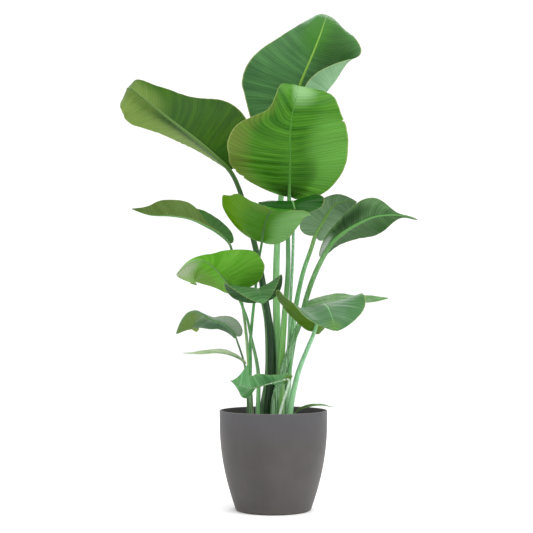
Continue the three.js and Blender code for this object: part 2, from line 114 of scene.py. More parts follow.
def mixed(tree, share, first, second):
    """Two colours mixed by a share from 0 to 1"""
    return put(tree, "ShaderNodeMix", {0: share, 6: first, 7: second}, data_type="RGBA").outputs[2]


def relief(tree, height, depth, under=None):
    """Bumps of a height map, as a normal, over the bumps under them"""
    sockets = {"Height": height, "Distance": depth, "Strength": 1.0}
    if under is not None:
        sockets["Normal"] = under
    return put(tree, "ShaderNodeBump", sockets).outputs[0]


def finish(tree, colour, roughness, bumps=None, specular=0.5, glow=None):
    """The surface of a material, with a share of the light let through where a glow is given"""
    sockets = {"Base Color": colour, "Roughness": roughness, "Specular IOR Level": specular}
    if bumps is not None:
        sockets["Normal"] = bumps
    surface = put(tree, "ShaderNodeBsdfPrincipled", sockets).outputs[0]
    if glow:
        share, tint = glow
        through = put(tree, "ShaderNodeBsdfTranslucent", {"Color": tint, "Normal": bumps}).outputs[0]
        surface = put(tree, "ShaderNodeMixShader", {0: share, 1: surface, 2: through}).outputs[0]
    put(tree, "ShaderNodeOutputMaterial", {"Surface": surface})


def joined(vertices, faces, name, materials, face_materials=None, sharp=None):
    """A mesh object from points and faces, smooth but for the sharp edges"""
    mesh = bpy.data.meshes.new(name)
    mesh.from_pydata(vertices, [], faces)
    for material in materials:
        mesh.materials.append(material)
    mesh.polygons.foreach_set("use_smooth", [True] * len(mesh.polygons))
    if face_materials is not None:
        mesh.polygons.foreach_set("material_index", face_materials)
    if sharp:
        for edge in mesh.edges:
            if (min(edge.vertices), max(edge.vertices)) in sharp:
                edge.use_edge_sharp = True
    mesh.update()
    piece = bpy.data.objects.new(name, mesh)
    bpy.context.scene.collection.objects.link(piece)
    return piece


def turned(profile, sides):
    """Points and faces of a profile of radius and height turned round the vertical axis, from axis to axis"""
    vertices = [(0.0, 0.0, profile[0][1])]
    for radius, height in profile[1:-1]:
        for k in range(sides):
            turn = 2 * math.pi * k / sides
            vertices.append((radius * math.cos(turn), radius * math.sin(turn), height))
    vertices.append((0.0, 0.0, profile[-1][1]))
    faces = []
    last_ring = 1 + (len(profile) - 3) * sides
    for k in range(sides):
        after = (k + 1) % sides
        faces.append((0, 1 + after, 1 + k))
        for a in range(1, last_ring, sides):
            faces.append((a + k, a + after, a + sides + after, a + sides + k))
        faces.append((last_ring + k, last_ring + after, len(vertices) - 1))
    return vertices, faces


def outer_radius(height):
    """Radius of the planter's outside at a height above the ground"""
    below = max(0.0, POT_HEIGHT - height - STRAIGHT_PART)
    reach = POT_HEIGHT - STRAIGHT_PART
    return RIM_RADIUS - DRAFT * (POT_HEIGHT - height) - TAPER * (below / reach) ** TAPER_POWER


pot_plastic, tree = new_material("dark_planter_plastic")
place = place_in(tree)
cloud = grain(tree, place, 7.0, 3.0)
flow = grain(tree, stretched(tree, place, 30.0, 30.0, 2.0), 1.0, 2.0)
speck = grain(tree, place, 900.0, 1.0)
height_above_floor = put(tree, "ShaderNodeSeparateXYZ", {"Vector": place}).outputs["Z"]
colour = mixed(tree, eased(tree, cloud, 0.35, 0.65), paint(*DARK_PLASTIC), paint(*WARM_PLASTIC))
sheen = eased(tree, height_above_floor, *SHEEN_HEIGHTS, 0.0, 0.6)
colour = mixed(tree, sheen, colour, paint(*SKY_SHEEN))
colour = mixed(tree, eased(tree, flow, 0.5, 0.75, 0.0, 0.2), colour, paint(*FLOW_MARK))
# The top of the lip is painted lighter.
lip_top_share = eased(tree, height_above_floor, *LIP_HEIGHTS, 0.0, 0.5)
colour = mixed(tree, lip_top_share, colour, paint(*LIGHT_LIP_TOP))
dust = eased(tree, height_above_floor, DUSTY_FOOT, 0.0, 0.0, 0.3)
colour = mixed(tree, dust, colour, paint(*DUST))
bumps = relief(tree, speck, 0.00012, relief(tree, cloud, 0.0006))
finish(tree, colour, eased(tree, speck, 0.2, 0.8, 0.46, 0.6), bumps, specular=0.3)

profile = [(0.0, 0.0)]
foot_edge = outer_radius(FOOT_FILLET) - FOOT_FILLET
for step in range(9):
    turn = math.pi / 2 * step / 8
    profile.append((foot_edge + FOOT_FILLET * math.sin(turn), FOOT_FILLET * (1 - math.cos(turn))))
for step in range(1, 33):
    height = FOOT_FILLET + (POT_HEIGHT - LIP_ROUNDING - FOOT_FILLET) * step / 32
    profile.append((outer_radius(height), height))
outer_edge = outer_radius(POT_HEIGHT) - LIP_ROUNDING
for step in range(1, 7):
    turn = math.pi / 2 * step / 6
    height = POT_HEIGHT - LIP_ROUNDING * (1 - math.sin(turn))
    profile.append((outer_edge + LIP_ROUNDING * math.cos(turn), height))
inner_edge = outer_radius(POT_HEIGHT) - WALL + LIP_ROUNDING
for step in range(7):
    turn = math.pi / 2 * step / 6
    height = POT_HEIGHT - LIP_ROUNDING * (1 - math.cos(turn))
    profile.append((inner_edge - LIP_ROUNDING * math.sin(turn), height))
for step in range(1, 25):
    height = POT_HEIGHT - LIP_ROUNDING - (POT_HEIGHT - LIP_ROUNDING - FLOOR) * step / 24
    profile.append((outer_radius(height) - WALL, height))
profile.append((0.0, FLOOR))
vertices, faces = turned(profile, ROUND_SIDES)
pot = joined(vertices, faces, "planter", [pot_plastic])
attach(pot, "root")
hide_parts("pot")


# Soil
# Dark peaty potting soil, filled to two fingers' breadth below the rim and heaped a little at the middle.
# It is crumbs of peat with chips of bark and white grains of perlite, and it holds every stalk upright.

SOIL_SURFACE = 0.241
SOIL_CROWN = 0.007
SOIL_GAP = 0.00035
SOIL_LUMPS = [(0.0022, 0.019), (0.0012, 0.007), (0.0007, 0.003)]
SOIL_RINGS = 90
SOIL_SIDES = 220
CHIPS = 260
PERLITE = 120
CHIP_SIZES = [(0.006, 0.016), (0.004, 0.008), (0.002, 0.004)]
PERLITE_SIZES = (0.0022, 0.0045)
LUMP_LIFT = 0.0006
CLEAR_OF_WALL = 0.012
DARK_PEAT = (34, 25, 19)
DRY_PEAT = (74, 56, 43)
DAMP_PEAT = (52, 36, 26)
DARK_BARK = (58, 38, 26)
LIGHT_BARK = (112, 80, 56)
GREY_PERLITE = (150, 144, 134)
WHITE_PERLITE = (205, 200, 190)

chance = np.random.default_rng(7)


def lumps(x, y, size, seed):
    """Smooth random heights over a plane, from -1 to 1, with bumps of about the given size"""
    table = np.random.default_rng(seed).uniform(-1, 1, (64, 64))
    u = np.asarray(x) / size
    v = np.asarray(y) / size
    column = np.floor(u).astype(int)
    row = np.floor(v).astype(int)
    a = u - column
    b = v - row
    a = a * a * (3 - 2 * a)
    b = b * b * (3 - 2 * b)
    near = table[row % 64, column % 64] * (1 - a) + table[row % 64, (column + 1) % 64] * a
    far = table[(row + 1) % 64, column % 64] * (1 - a) + table[(row + 1) % 64, (column + 1) % 64] * a
    return near * (1 - b) + far * b


def soil_height(x, y):
    """Height of the loose surface, heaped at the middle and level at the wall"""
    share = np.hypot(x, y) / (outer_radius(SOIL_SURFACE) - WALL)
    crumbs = sum(rise * lumps(x, y, size, seed) for seed, (rise, size) in enumerate(SOIL_LUMPS, 1))
    return SOIL_SURFACE + SOIL_CROWN * (1 - share ** 2) + crumbs * np.clip((1 - share) * 14, 0, 1)


peat, tree = new_material("peaty_potting_soil")
place = place_in(tree)
crumb = grain(tree, place, 160.0, 4.0, 0.65)
patch = grain(tree, place, 22.0, 2.0)
colour = mixed(tree, eased(tree, crumb, 0.3, 0.7), paint(*DARK_PEAT), paint(*DRY_PEAT))
colour = mixed(tree, eased(tree, patch, 0.45, 0.7, 0.0, 0.5), colour, paint(*DAMP_PEAT))
finish(tree, colour, eased(tree, patch, 0.3, 0.7, 0.98, 0.8), relief(tree, crumb, 0.0015))

bark, tree = new_material("bark_chips")
place = place_in(tree)
fibre = grain(tree, stretched(tree, place, 90.0, 400.0, 90.0), 1.0, 3.0)
colour = mixed(tree, eased(tree, fibre, 0.3, 0.7), paint(*DARK_BARK), paint(*LIGHT_BARK))
finish(tree, colour, 0.85, relief(tree, fibre, 0.0008))

perlite, tree = new_material("perlite_grains")
place = place_in(tree)
pores = grain(tree, place, 700.0, 3.0)
colour = mixed(tree, eased(tree, pores, 0.3, 0.7), paint(*GREY_PERLITE), paint(*WHITE_PERLITE))
finish(tree, colour, 0.9, relief(tree, pores, 0.0006))

wall_radius = outer_radius(SOIL_SURFACE) - WALL - SOIL_GAP
profile = [(wall_radius * ring / SOIL_RINGS, 0.0) for ring in range(SOIL_RINGS + 1)]
for step in range(1, 13):
    height = SOIL_SURFACE - (SOIL_SURFACE - FLOOR - SOIL_GAP) * step / 12
    profile.append((outer_radius(height) - WALL - SOIL_GAP, height))
profile.append((0.0, FLOOR + SOIL_GAP))
vertices, faces = turned(profile, SOIL_SIDES)
for k in range(1 + SOIL_RINGS * SOIL_SIDES):
    x, y = vertices[k][:2]
    vertices[k] = (x, y, float(soil_height(x, y)))
# This profile runs down from the top, so its faces are turned to look outwards
faces = [face[:1] + face[:0:-1] for face in faces]
face_materials = [0] * len(faces)


def crumb_of(centre, size, seed):
    """The eight corners of a rough lump, turned at random"""
    own = np.random.default_rng(seed)
    corners = np.array([(x, y, z) for z in (-1, 1) for y in (-1, 1) for x in (-1, 1)], dtype=float)
    corners = corners * own.uniform(0.6, 1.0, corners.shape) * np.array(size) / 2
    turn = own.uniform(0, 2 * math.pi)
    tip = own.uniform(-0.5, 0.5)
    flat = np.array([[math.cos(turn), -math.sin(turn), 0], [math.sin(turn), math.cos(turn), 0], [0, 0, 1]])
    lean = np.array([[1, 0, 0], [0, math.cos(tip), -math.sin(tip)], [0, math.sin(tip), math.cos(tip)]])
    return [tuple(p) for p in corners @ lean.T @ flat.T + np.array(centre)]


LUMP_FACES = [(0, 2, 3, 1), (4, 5, 7, 6), (0, 1, 5, 4), (1, 3, 7, 5), (3, 2, 6, 7), (2, 0, 4, 6)]
for number in range(CHIPS + PERLITE):
    reach = (wall_radius - CLEAR_OF_WALL) * math.sqrt(chance.uniform(0, 1))
    turn = chance.uniform(0, 2 * math.pi)
    x = reach * math.cos(turn)
    y = reach * math.sin(turn)
    is_chip = number < CHIPS
    if is_chip:
        size = [chance.uniform(*limits) for limits in CHIP_SIZES]
    else:
        size = [chance.uniform(*PERLITE_SIZES)] * 3
    start = len(vertices)
    vertices += crumb_of((x, y, float(soil_height(x, y)) + LUMP_LIFT), size, 100 + number)
    faces += [tuple(start + corner for corner in face) for face in LUMP_FACES]
    face_materials += [1 if is_chip else 2] * 6
soil = joined(vertices, faces, "potting_soil", [peat, bark, perlite], face_materials)
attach(soil, "root")
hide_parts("soil")


# Top leaf
# The tallest leaf grew from the middle of the clump and stands behind the others, its dark side to the front.
# Its right half has rolled forward over itself, so the silvery underside shows in a wedge below the fold.
# Like every leaf here it grew as one piece: stalk, rib and blade run into each other without a joint.

MILLIMETRE = 0.001
LINE_STEPS = 240
BLADE_THICKNESS = 0.0009
FIRST_VEIN = 0.003
LAST_VEIN = 0.994
VEIN_SWEEP = 0.16
FOLD_START = 0.25
FOLD_END = 0.8
FOLD_STEPS = 8
PLEAT_SPACING = 0.021
PLEAT_CHANGE = 0.03
PLEAT_DRIFT = 0.05
NICK_SPACING = 0.03
SMALL_NICK_SPACING = 0.008
EDGE_RIPPLE = 0.0006
VEIN_SPACING = 0.0075
RIB_CHANNEL_DEPTH = 0.0011
RIB_CHANNEL_REACH = 0.0035
STALK_SIDES = 20
STALK_RINGS = 110
STALK_END = 0.985
SHEATH_HEIGHT = 0.16
PALE_MARGIN_AND_HIGHLIGHT = (176, 182, 116)
BROWN_SPOT = (140, 108, 60)
LIT_THROUGH = (150, 190, 40)
SHEATH_LIP = (164, 192, 148)


def bend(here, there, start, end, x):
    """The smooth curve from here to there at x from 0 to 1, with its slope at the start and at the end"""
    rise = there - here
    square = 3 * rise - 2 * start - end
    cube = start + end - 2 * rise
    return here + start * x + square * x * x + cube * x ** 3


def curve_through(points):
    """Points evenly spaced along the smooth curve that runs through given points in millimetres"""
    points = np.array(points, dtype=float) * MILLIMETRE
    before = 2 * points[0] - points[1]
    after = 2 * points[-1] - points[-2]
    chain = np.vstack([before, points, after])
    spans = len(points) - 1
    found = []
    for place in np.linspace(0, spans, LINE_STEPS + 1):
        k = min(int(place), spans - 1)
        x = place - k
        p0, p1, p2, p3 = chain[k:k + 4]
        d0, d1, d2 = (math.sqrt(np.linalg.norm(b - a)) for a, b in ((p0, p1), (p1, p2), (p2, p3)))
        start = ((p1 - p0) / d0 - (p2 - p0) / (d0 + d1) + (p2 - p1) / d1) * d1
        end = ((p2 - p1) / d1 - (p3 - p1) / (d1 + d2) + (p3 - p2) / d2) * d1
        found.append(bend(p1, p2, start, end, x))
    found = np.array(found)
    steps = np.linalg.norm(np.diff(found, axis=0), axis=1)
    length = np.concatenate([[0], np.cumsum(steps)])
    even = np.linspace(0, length[-1], LINE_STEPS + 1)
    return np.stack([np.interp(even, length, found[:, axis]) for axis in range(3)], axis=1), length


def unit(vectors):
    return vectors / np.linalg.norm(vectors, axis=-1, keepdims=True)


def leaf_line(stalk, rib, face, twist):
    """The line of a leaf from its end in the soil to its tip, with the side that looks up carried along it"""
    at, length = curve_through(stalk + rib)
    spans_to_blade = len(stalk) / (len(stalk) + len(rib) - 1)
    foot = round(length[round(spans_to_blade * LINE_STEPS)] / length[-1] * LINE_STEPS)
    tangent = unit(np.gradient(at, axis=0))
    up = np.zeros_like(at)
    up[foot] = face
    order = list(range(foot + 1, LINE_STEPS + 1)) + list(range(foot - 1, -1, -1))
    up[foot] = unit(up[foot] - tangent[foot] * (up[foot] @ tangent[foot]))
    for k in order:
        known = up[k - 1] if k > foot else up[k + 1]
        up[k] = unit(known - tangent[k] * (known @ tangent[k]))
    for k in range(foot, LINE_STEPS + 1):
        angle = math.radians(twist) * (k - foot) / (LINE_STEPS - foot)
        up[k] = up[k] * math.cos(angle) + np.cross(tangent[k], up[k]) * math.sin(angle)
    return at, tangent, up, foot / LINE_STEPS, length[-1]


def on_line(values, share):
    """A value carried along the leaf's line, at shares of its length"""
    place = np.clip(share, 0, 1) * LINE_STEPS
    k = np.minimum(place.astype(int), LINE_STEPS - 1)
    x = (place - k)[..., None]
    return values[k] * (1 - x) + values[k + 1] * x


def along(stations, u):
    """A value that runs smoothly through evenly spaced stations, at u from 0 to 1"""
    stations = np.array(stations, dtype=float)
    last = len(stations) - 1
    place = np.clip(u, 0, 1) * last
    k = np.minimum(place.astype(int), last - 1)
    x = place - k
    here = stations[k]
    there = stations[k + 1]
    start = (there - stations[np.maximum(k - 1, 0)]) / 2
    end = (stations[np.minimum(k + 2, last)] - here) / 2
    return bend(here, there, start, end, x)


def leaf_blade(line, left, right, wave, seed, tears, pleat, rows, columns):
    """The blade's sheet of points, row by row from foot to tip and across from the left margin to the right,
    with the share across, the vein and the two lengths in metres that its finish is drawn by"""
    at, tangent, up, foot, length = line
    rib_length = length * (1 - foot)
    vein = FIRST_VEIN + (LAST_VEIN - FIRST_VEIN) * np.linspace(0, 1, rows + 1) ** 1.25
    across = np.linspace(-1, 1, 2 * columns + 1)
    # m is the vein that a point lies on, from foot to tip, and s its share across, from margin to margin
    # t is its share of the way out from the rib, and u the place along the rib that it stands over
    m, s = np.meshgrid(vein, across, indexing="ij")
    side = np.where(s < 0, -1.0, 1.0)
    t = np.abs(s)
    for torn_side, torn_vein, torn_width, torn_depth in tears:
        near = np.clip(1 - np.abs(m - torn_vein) / torn_width, 0, 1) * (side == torn_side)
        t = t * (1 - torn_depth * near)
    start_vein = m - VEIN_SWEEP * np.sin(np.pi * m) * np.sqrt(m)
    lobe = np.where(s < 0, left["lobe"], right["lobe"])
    end_vein = m - lobe * np.sqrt(m) * (1 - m) ** 4
    u = start_vein + (end_vein - start_vein) * t ** 1.5
    shape = np.sin(np.pi * m ** 0.7) ** 0.8

    def of_side(key):
        return np.where(s < 0, along(left.get(key, (0, 0)), u), along(right.get(key, (0, 0)), u))

    metres_along = m * rib_length
    nibble = 0.008 * lumps(metres_along, side, NICK_SPACING, seed) - 0.011
    nibble = nibble + 0.003 * lumps(metres_along, side, SMALL_NICK_SPACING, seed + 1)
    out = of_side("width") * MILLIMETRE * shape * t * (1 + nibble * t ** 4)
    share = foot + np.maximum(u, 0) * (1 - foot)
    here = on_line(at, share)
    direction = unit(on_line(tangent, share))
    above = unit(on_line(up, share))
    beside = np.cross(direction, above)
    point = here + direction * (np.minimum(u, 0) * rib_length)[..., None]
    lift = np.radians(of_side("lift"))
    curl = np.radians(of_side("curl"))
    for k in range(FOLD_STEPS):
        place = np.clip(((k + 0.5) / FOLD_STEPS * t - FOLD_START) / (FOLD_END - FOLD_START), 0, 1)
        angle = lift + curl * place * place * (3 - 2 * place)
        point = point + beside * (side * np.cos(angle) * out / FOLD_STEPS)[..., None]
        point = point + above * (np.sin(angle) * out / FOLD_STEPS)[..., None]
    swell = wave[0] * MILLIMETRE * t * t * np.sin(2 * np.pi * (wave[1] * m + side * 0.15)) * np.sin(np.pi * m)
    point = point + above * swell[..., None]

    normal = unit(np.cross(np.gradient(point, axis=1), np.gradient(point, axis=0)))
    drift = metres_along + 0.006 * lumps(metres_along, side * 3, PLEAT_DRIFT, seed + 2)
    fold = np.sin(2 * np.pi * drift / PLEAT_SPACING + side)
    fold = fold * lumps(metres_along, t * PLEAT_CHANGE + side, PLEAT_CHANGE, seed + 3)
    rise = pleat * MILLIMETRE * fold * np.clip(t * 5, 0, 1) * np.clip(out * 25, 0, 1)
    rise = rise + EDGE_RIPPLE * t ** 6 * lumps(metres_along, side, NICK_SPACING, seed + 4)
    channel = RIB_CHANNEL_DEPTH * np.exp(-((out / RIB_CHANNEL_REACH) ** 2)) * np.clip((1 - m) * 3, 0, 1)
    point = point + normal * (rise - channel)[..., None]
    return point, s, m, out * side, metres_along


def line_radius(share, foot, thick):
    """Radius of the stalk or the rib at a share of the line's length"""
    in_soil, at_blade = thick
    if share < foot:
        return (at_blade + (in_soil - at_blade) * (1 - share / foot) ** 1.6) * MILLIMETRE / 2
    u = (share - foot) / (1 - foot)
    return MILLIMETRE * (1 + (at_blade / 2 - 1) * (1 - u) ** 1.3) - 0.0004 * u


def leaf_stalk(line, thick):
    """Rings of points round the stalk and the rib, with a channel on the upper side that opens into a sheath
    at the foot"""
    at, tangent, up, foot, length = line
    points = []
    drawn = []
    turns = np.array([2 * math.pi * (k + 0.5) / STALK_SIDES for k in range(STALK_SIDES)])
    from_top = np.abs((turns - math.pi / 2 + math.pi) % (2 * math.pi) - math.pi)
    for ring in range(STALK_RINGS + 1):
        share = STALK_END * ring / STALK_RINGS
        radius = line_radius(share, foot, thick)
        u = max(0.0, (share - foot) / (1 - foot))
        place = np.array([share])
        above = unit(on_line(up, place))[0]
        beside = np.cross(unit(on_line(tangent, place))[0], above)
        low = math.exp(-((share * length) / SHEATH_HEIGHT) ** 2)
        groove = (0.16 + 0.22 * low) * min(1.0, (1 - u) * 4)
        rim = 0.1 * low + 0.03
        channel = groove * np.exp(-((from_top / 0.42) ** 2))
        lips = rim * np.exp(-(((from_top - 0.75) / 0.22) ** 2))
        reach = radius * (1 - channel + lips)
        centre = on_line(at, place)[0] - above * 0.7 * radius * min(1.0, u * 8)
        sideways = np.outer(np.cos(turns) * reach, beside)
        points.append(centre + sideways + np.outer(np.sin(turns) * reach, above))
        drawn.append(share)
    return np.array(points), drawn


def grow(name, line, blade, stalk, finishes):
    """One leaf as one object: its blade, a thin closed sheet with an upper and an under face, and its stalk,
    which runs on under the blade as the rib"""
    point, s, m, out, metres = blade
    rows = point.shape[0] - 1
    across = point.shape[1] - 1
    normal = unit(np.cross(np.gradient(point, axis=1), np.gradient(point, axis=0)))
    half = (BLADE_THICKNESS / 2 * (1 - 0.45 * np.abs(s) ** 3))[..., None]
    layers = (point + normal * half, point - normal * half)
    vertices = [tuple(p) for layer in layers for p in layer.reshape(-1, 3)]
    size = (rows + 1) * (across + 1)
    drawn = [tuple(map(float, values)) for values in zip(s.flat, m.flat, out.flat, metres.flat)] * 2
    faces = []
    face_materials = []
    for i in range(rows):
        for j in range(across):
            a = i * (across + 1) + j
            b = a + across + 1
            faces.append((a, a + 1, b + 1, b))
            faces.append((size + a, size + b, size + b + 1, size + a + 1))
            face_materials += [0, 1]
    border = [(0, j) for j in range(across)] + [(i, across) for i in range(rows)]
    border += [(rows, j) for j in range(across, 0, -1)] + [(i, 0) for i in range(rows, 0, -1)]
    border = [i * (across + 1) + j for i, j in border]
    sharp = set()
    for k, a in enumerate(border):
        b = border[(k + 1) % len(border)]
        faces.append((a, size + a, size + b, b))
        face_materials.append(0)
        sharp.add((min(a, b), max(a, b)))
        sharp.add((size + min(a, b), size + max(a, b)))
    rings, shares = stalk
    start = len(vertices)
    sides = rings.shape[1]
    foot = line[3]
    for ring, share in zip(rings, shares):
        vertices += [tuple(p) for p in ring]
        drawn += [(share / foot, k / sides, share * line[4], 0.0) for k in range(sides)]
    for ring in range(len(shares) - 1):
        for k in range(sides):
            a = start + ring * sides + k
            b = start + ring * sides + (k + 1) % sides
            faces.append((a, a + sides, b + sides, b))
            face_materials.append(2)
    faces.append(tuple(start + k for k in range(sides)))
    faces.append(tuple(start + (len(shares) - 1) * sides + k for k in reversed(range(sides))))
    face_materials += [2, 2]
    leaf = joined(vertices, faces, name, finishes, face_materials, sharp)
    corners = np.zeros(len(leaf.data.loops), dtype=int)
    leaf.data.loops.foreach_get("vertex_index", corners)
    drawn = np.array(drawn)[corners]
    for layer, pair in (("share", (0, 1)), ("metres", (2, 3))):
        chart = leaf.data.uv_layers.new(name=layer)
        chart.data.foreach_set("uv", drawn[:, pair].astype(np.float32).ravel())
    return leaf


def reckon(tree, operation, a, b=0.0):
    return put(tree, "ShaderNodeMath", {0: a, 1: b}, operation=operation).outputs[0]


def times(tree, a, b):
    return reckon(tree, "MULTIPLY", a, b)


def drawn_by(tree, layer):
    """The two numbers that a leaf's points carry in a layer"""
    pair = put(tree, "ShaderNodeUVMap", {}, uv_map=layer).outputs[0]
    split = put(tree, "ShaderNodeSeparateXYZ", {"Vector": pair})
    return pair, split.outputs["X"], split.outputs["Y"]


def leaf_face(name, deep, fresh, vein, gloss, rib=None, lines=0.4, light_through=0.3, bloom=None, tone_and_light_patches=()):
    """One face of a blade: two greens that change slowly, fine side veins, a paler rib, a pale margin that is
    partly a painted highlight, and soft patches, some of the leaf's own tone and some painted light and
    shade, each given by its place across and along the blade, its reach each way, its colour and its strength"""
    material, tree = new_material(name)
    across, vein_number = drawn_by(tree, "share")[1:]
    metres, out = drawn_by(tree, "metres")[:2]
    from_rib = reckon(tree, "ABSOLUTE", across)
    place = place_in(tree)
    broad = grain(tree, stretched(tree, metres, 5.0, 70.0, 1.0), 1.0, 3.0)
    threads = grain(tree, stretched(tree, metres, 5.0, 700.0, 1.0), 1.0, 2.0)
    fade = grain(tree, stretched(tree, metres, 14.0, 60.0, 1.0), 1.0, 1.0)
    vein_scale = 2 * math.pi / (20 * VEIN_SPACING)
    sockets = {"Vector": metres, "Scale": vein_scale, "Distortion": 1.4, "Detail": 1.0, "Detail Scale": 0.35}
    veins = put(tree, "ShaderNodeTexWave", sockets, bands_direction="Y").outputs["Fac"]
    patch = grain(tree, place, 7.0, 2.0)
    wide_tone = eased(tree, broad, 0.3, 0.7, 0.0, 0.6)
    tone = reckon(tree, "ADD", wide_tone, eased(tree, patch, 0.35, 0.65, 0.0, 0.4))
    colour = mixed(tree, tone, paint(*deep), paint(*fresh))
    for s0, m0, s_reach, m_reach, tint, strength in tone_and_light_patches:
        ds = reckon(tree, "DIVIDE", reckon(tree, "SUBTRACT", across, s0), s_reach)
        dm = reckon(tree, "DIVIDE", reckon(tree, "SUBTRACT", vein_number, m0), m_reach)
        far = reckon(tree, "ADD", times(tree, ds, ds), times(tree, dm, dm))
        far = reckon(tree, "ADD", far, times(tree, broad, 0.5))
        colour = mixed(tree, eased(tree, far, 1.2, 0.2, 0.0, strength), colour, paint(*tint))
    shown = times(tree, lines, eased(tree, fade, 0.3, 0.7, 0.35, 1.0))
    colour = mixed(tree, times(tree, eased(tree, veins, 0.55, 0.0), shown), colour, paint(*deep))
    light_line = times(tree, eased(tree, veins, 0.7, 1.0, 0.0, 0.5), shown)
    colour = mixed(tree, light_line, colour, paint(*vein))
    colour = mixed(tree, eased(tree, threads, 0.4, 0.7, 0.0, 0.5 * lines), colour, paint(*deep))
    if bloom:
        cloud = eased(tree, patch, 0.35, 0.65, 0.3, 0.6)
        haze = times(tree, cloud, eased(tree, broad, 0.3, 0.6, 0.6))
        colour = mixed(tree, haze, colour, paint(*bloom))
    rib_reach = reckon(tree, "SUBTRACT", 0.0065, times(tree, vein_number, 0.0045))
    on_rib = reckon(tree, "DIVIDE", reckon(tree, "ABSOLUTE", out), rib_reach)
    on_rib = eased(tree, on_rib, 0.8, 0.3, 0.0, 0.6)
    on_rib = times(tree, on_rib, eased(tree, vein_number, 0.88, 0.62))
    colour = mixed(tree, on_rib, colour, paint(*(rib or vein)))
    rim = reckon(tree, "ADD", from_rib, times(tree, threads, 0.02))
    # The margin is painted pale, partly its own pale edge and partly a painted highlight along it.
    colour = mixed(tree, eased(tree, rim, 0.982, 1.005, 0.0, 0.45), colour, paint(*PALE_MARGIN_AND_HIGHLIGHT))
    spots = grain(tree, place, 70.0, 3.0, 0.6)
    near_edge = eased(tree, from_rib, 0.8, 1.0, 0.0, 0.15)
    worn = times(tree, eased(tree, spots, 0.62, 0.72), near_edge)
    colour = mixed(tree, worn, colour, paint(*BROWN_SPOT))
    bumps = relief(tree, veins, 0.0002, relief(tree, broad, 0.0005))
    bumps = relief(tree, threads, 0.0001, bumps)
    warm = mixed(tree, 0.45, colour, paint(*LIT_THROUGH))
    roughness = eased(tree, veins, 0.0, 1.0, gloss, gloss + 0.1)
    finish(tree, colour, roughness, bumps, specular=0.16, glow=(light_through, warm))
    return material


def stalk_skin(name, foot, middle, top, edge, side_shade, steps=(0.45, 0.85, 0.95, 1.2), tip=None):
    """The waxy skin of a stalk: painted shade down both sides, fine lengthwise lines, pale sheath edges
    and pale streaks low down, partly wax bloom and partly a painted highlight
    """
    material, tree = new_material(name)
    up_the_stalk, around = drawn_by(tree, "share")[1:]
    height = drawn_by(tree, "metres")[1]
    place = place_in(tree)
    fibre = grain(tree, stretched(tree, place, 420.0, 420.0, 9.0), 1.0, 2.0)
    patch = grain(tree, place, 16.0, 3.0)
    wander = reckon(tree, "ADD", up_the_stalk, times(tree, patch, 0.25))
    colour = mixed(tree, eased(tree, wander, steps[0], steps[1]), paint(*foot), paint(*middle))
    colour = mixed(tree, eased(tree, wander, steps[2], steps[3]), colour, paint(*top))
    if tip:
        colour = mixed(tree, eased(tree, up_the_stalk, 1.3, 1.5), colour, paint(*tip))
    # Painted shade down both sides of the stalk.
    turn = reckon(tree, "COSINE", times(tree, around, 2 * math.pi))
    painted_side_shade = eased(tree, reckon(tree, "ABSOLUTE", turn), 0.75, 1.0, 0.0, 0.55)
    painted_side_shade = times(tree, painted_side_shade, eased(tree, up_the_stalk, 1.25, 1.0))
    colour = mixed(tree, painted_side_shade, colour, paint(*side_shade))
    lined = times(tree, eased(tree, fibre, 0.45, 0.7, 0.0, 0.45), eased(tree, up_the_stalk, 1.1, 0.95))
    colour = mixed(tree, lined, colour, paint(*edge))
    from_channel = reckon(tree, "ABSOLUTE", reckon(tree, "SUBTRACT", around, 0.25))
    from_lip = reckon(tree, "ABSOLUTE", reckon(tree, "SUBTRACT", from_channel, 0.115))
    on_lip = times(tree, eased(tree, from_lip, 0.035, 0.008, 0.0, 0.6), eased(tree, height, 0.24, 0.1))
    colour = mixed(tree, on_lip, colour, paint(*SHEATH_LIP))
    # Pale streaks low on the stalk, partly wax bloom and partly a painted highlight.
    wax_and_highlight = times(tree, eased(tree, height, 0.5, 0.1, 0.0, 0.5), eased(tree, fibre, 0.35, 0.6))
    colour = mixed(tree, wax_and_highlight, colour, paint(*edge))
    bumps = relief(tree, fibre, 0.0004, relief(tree, patch, 0.0008))
    finish(tree, colour, eased(tree, fibre, 0.3, 0.7, 0.36, 0.5), bumps, specular=0.3)
    return material


def leaf(name, stalk, rib, face, thick, left, right, wave, seed, upper, under, skin,
         twist=0, pleat=0.9, rows=150, columns=30, tears=()):
    """One leaf: the points of its stalk and its rib, its thickness in the soil and at the blade, and each
    half's widths, all in millimetres, its lift and curl in degrees, and the colours of its faces and stalk"""
    line = leaf_line(stalk, rib, face, twist)
    blade = leaf_blade(line, left, right, wave, seed, tears, pleat, rows, columns)
    faces = [leaf_face(name + "_upper_side", **upper), leaf_face(name + "_under_side", **under)]
    return grow(name, line, blade, leaf_stalk(line, thick), faces + [stalk_skin(name + "_stalk", **skin)])


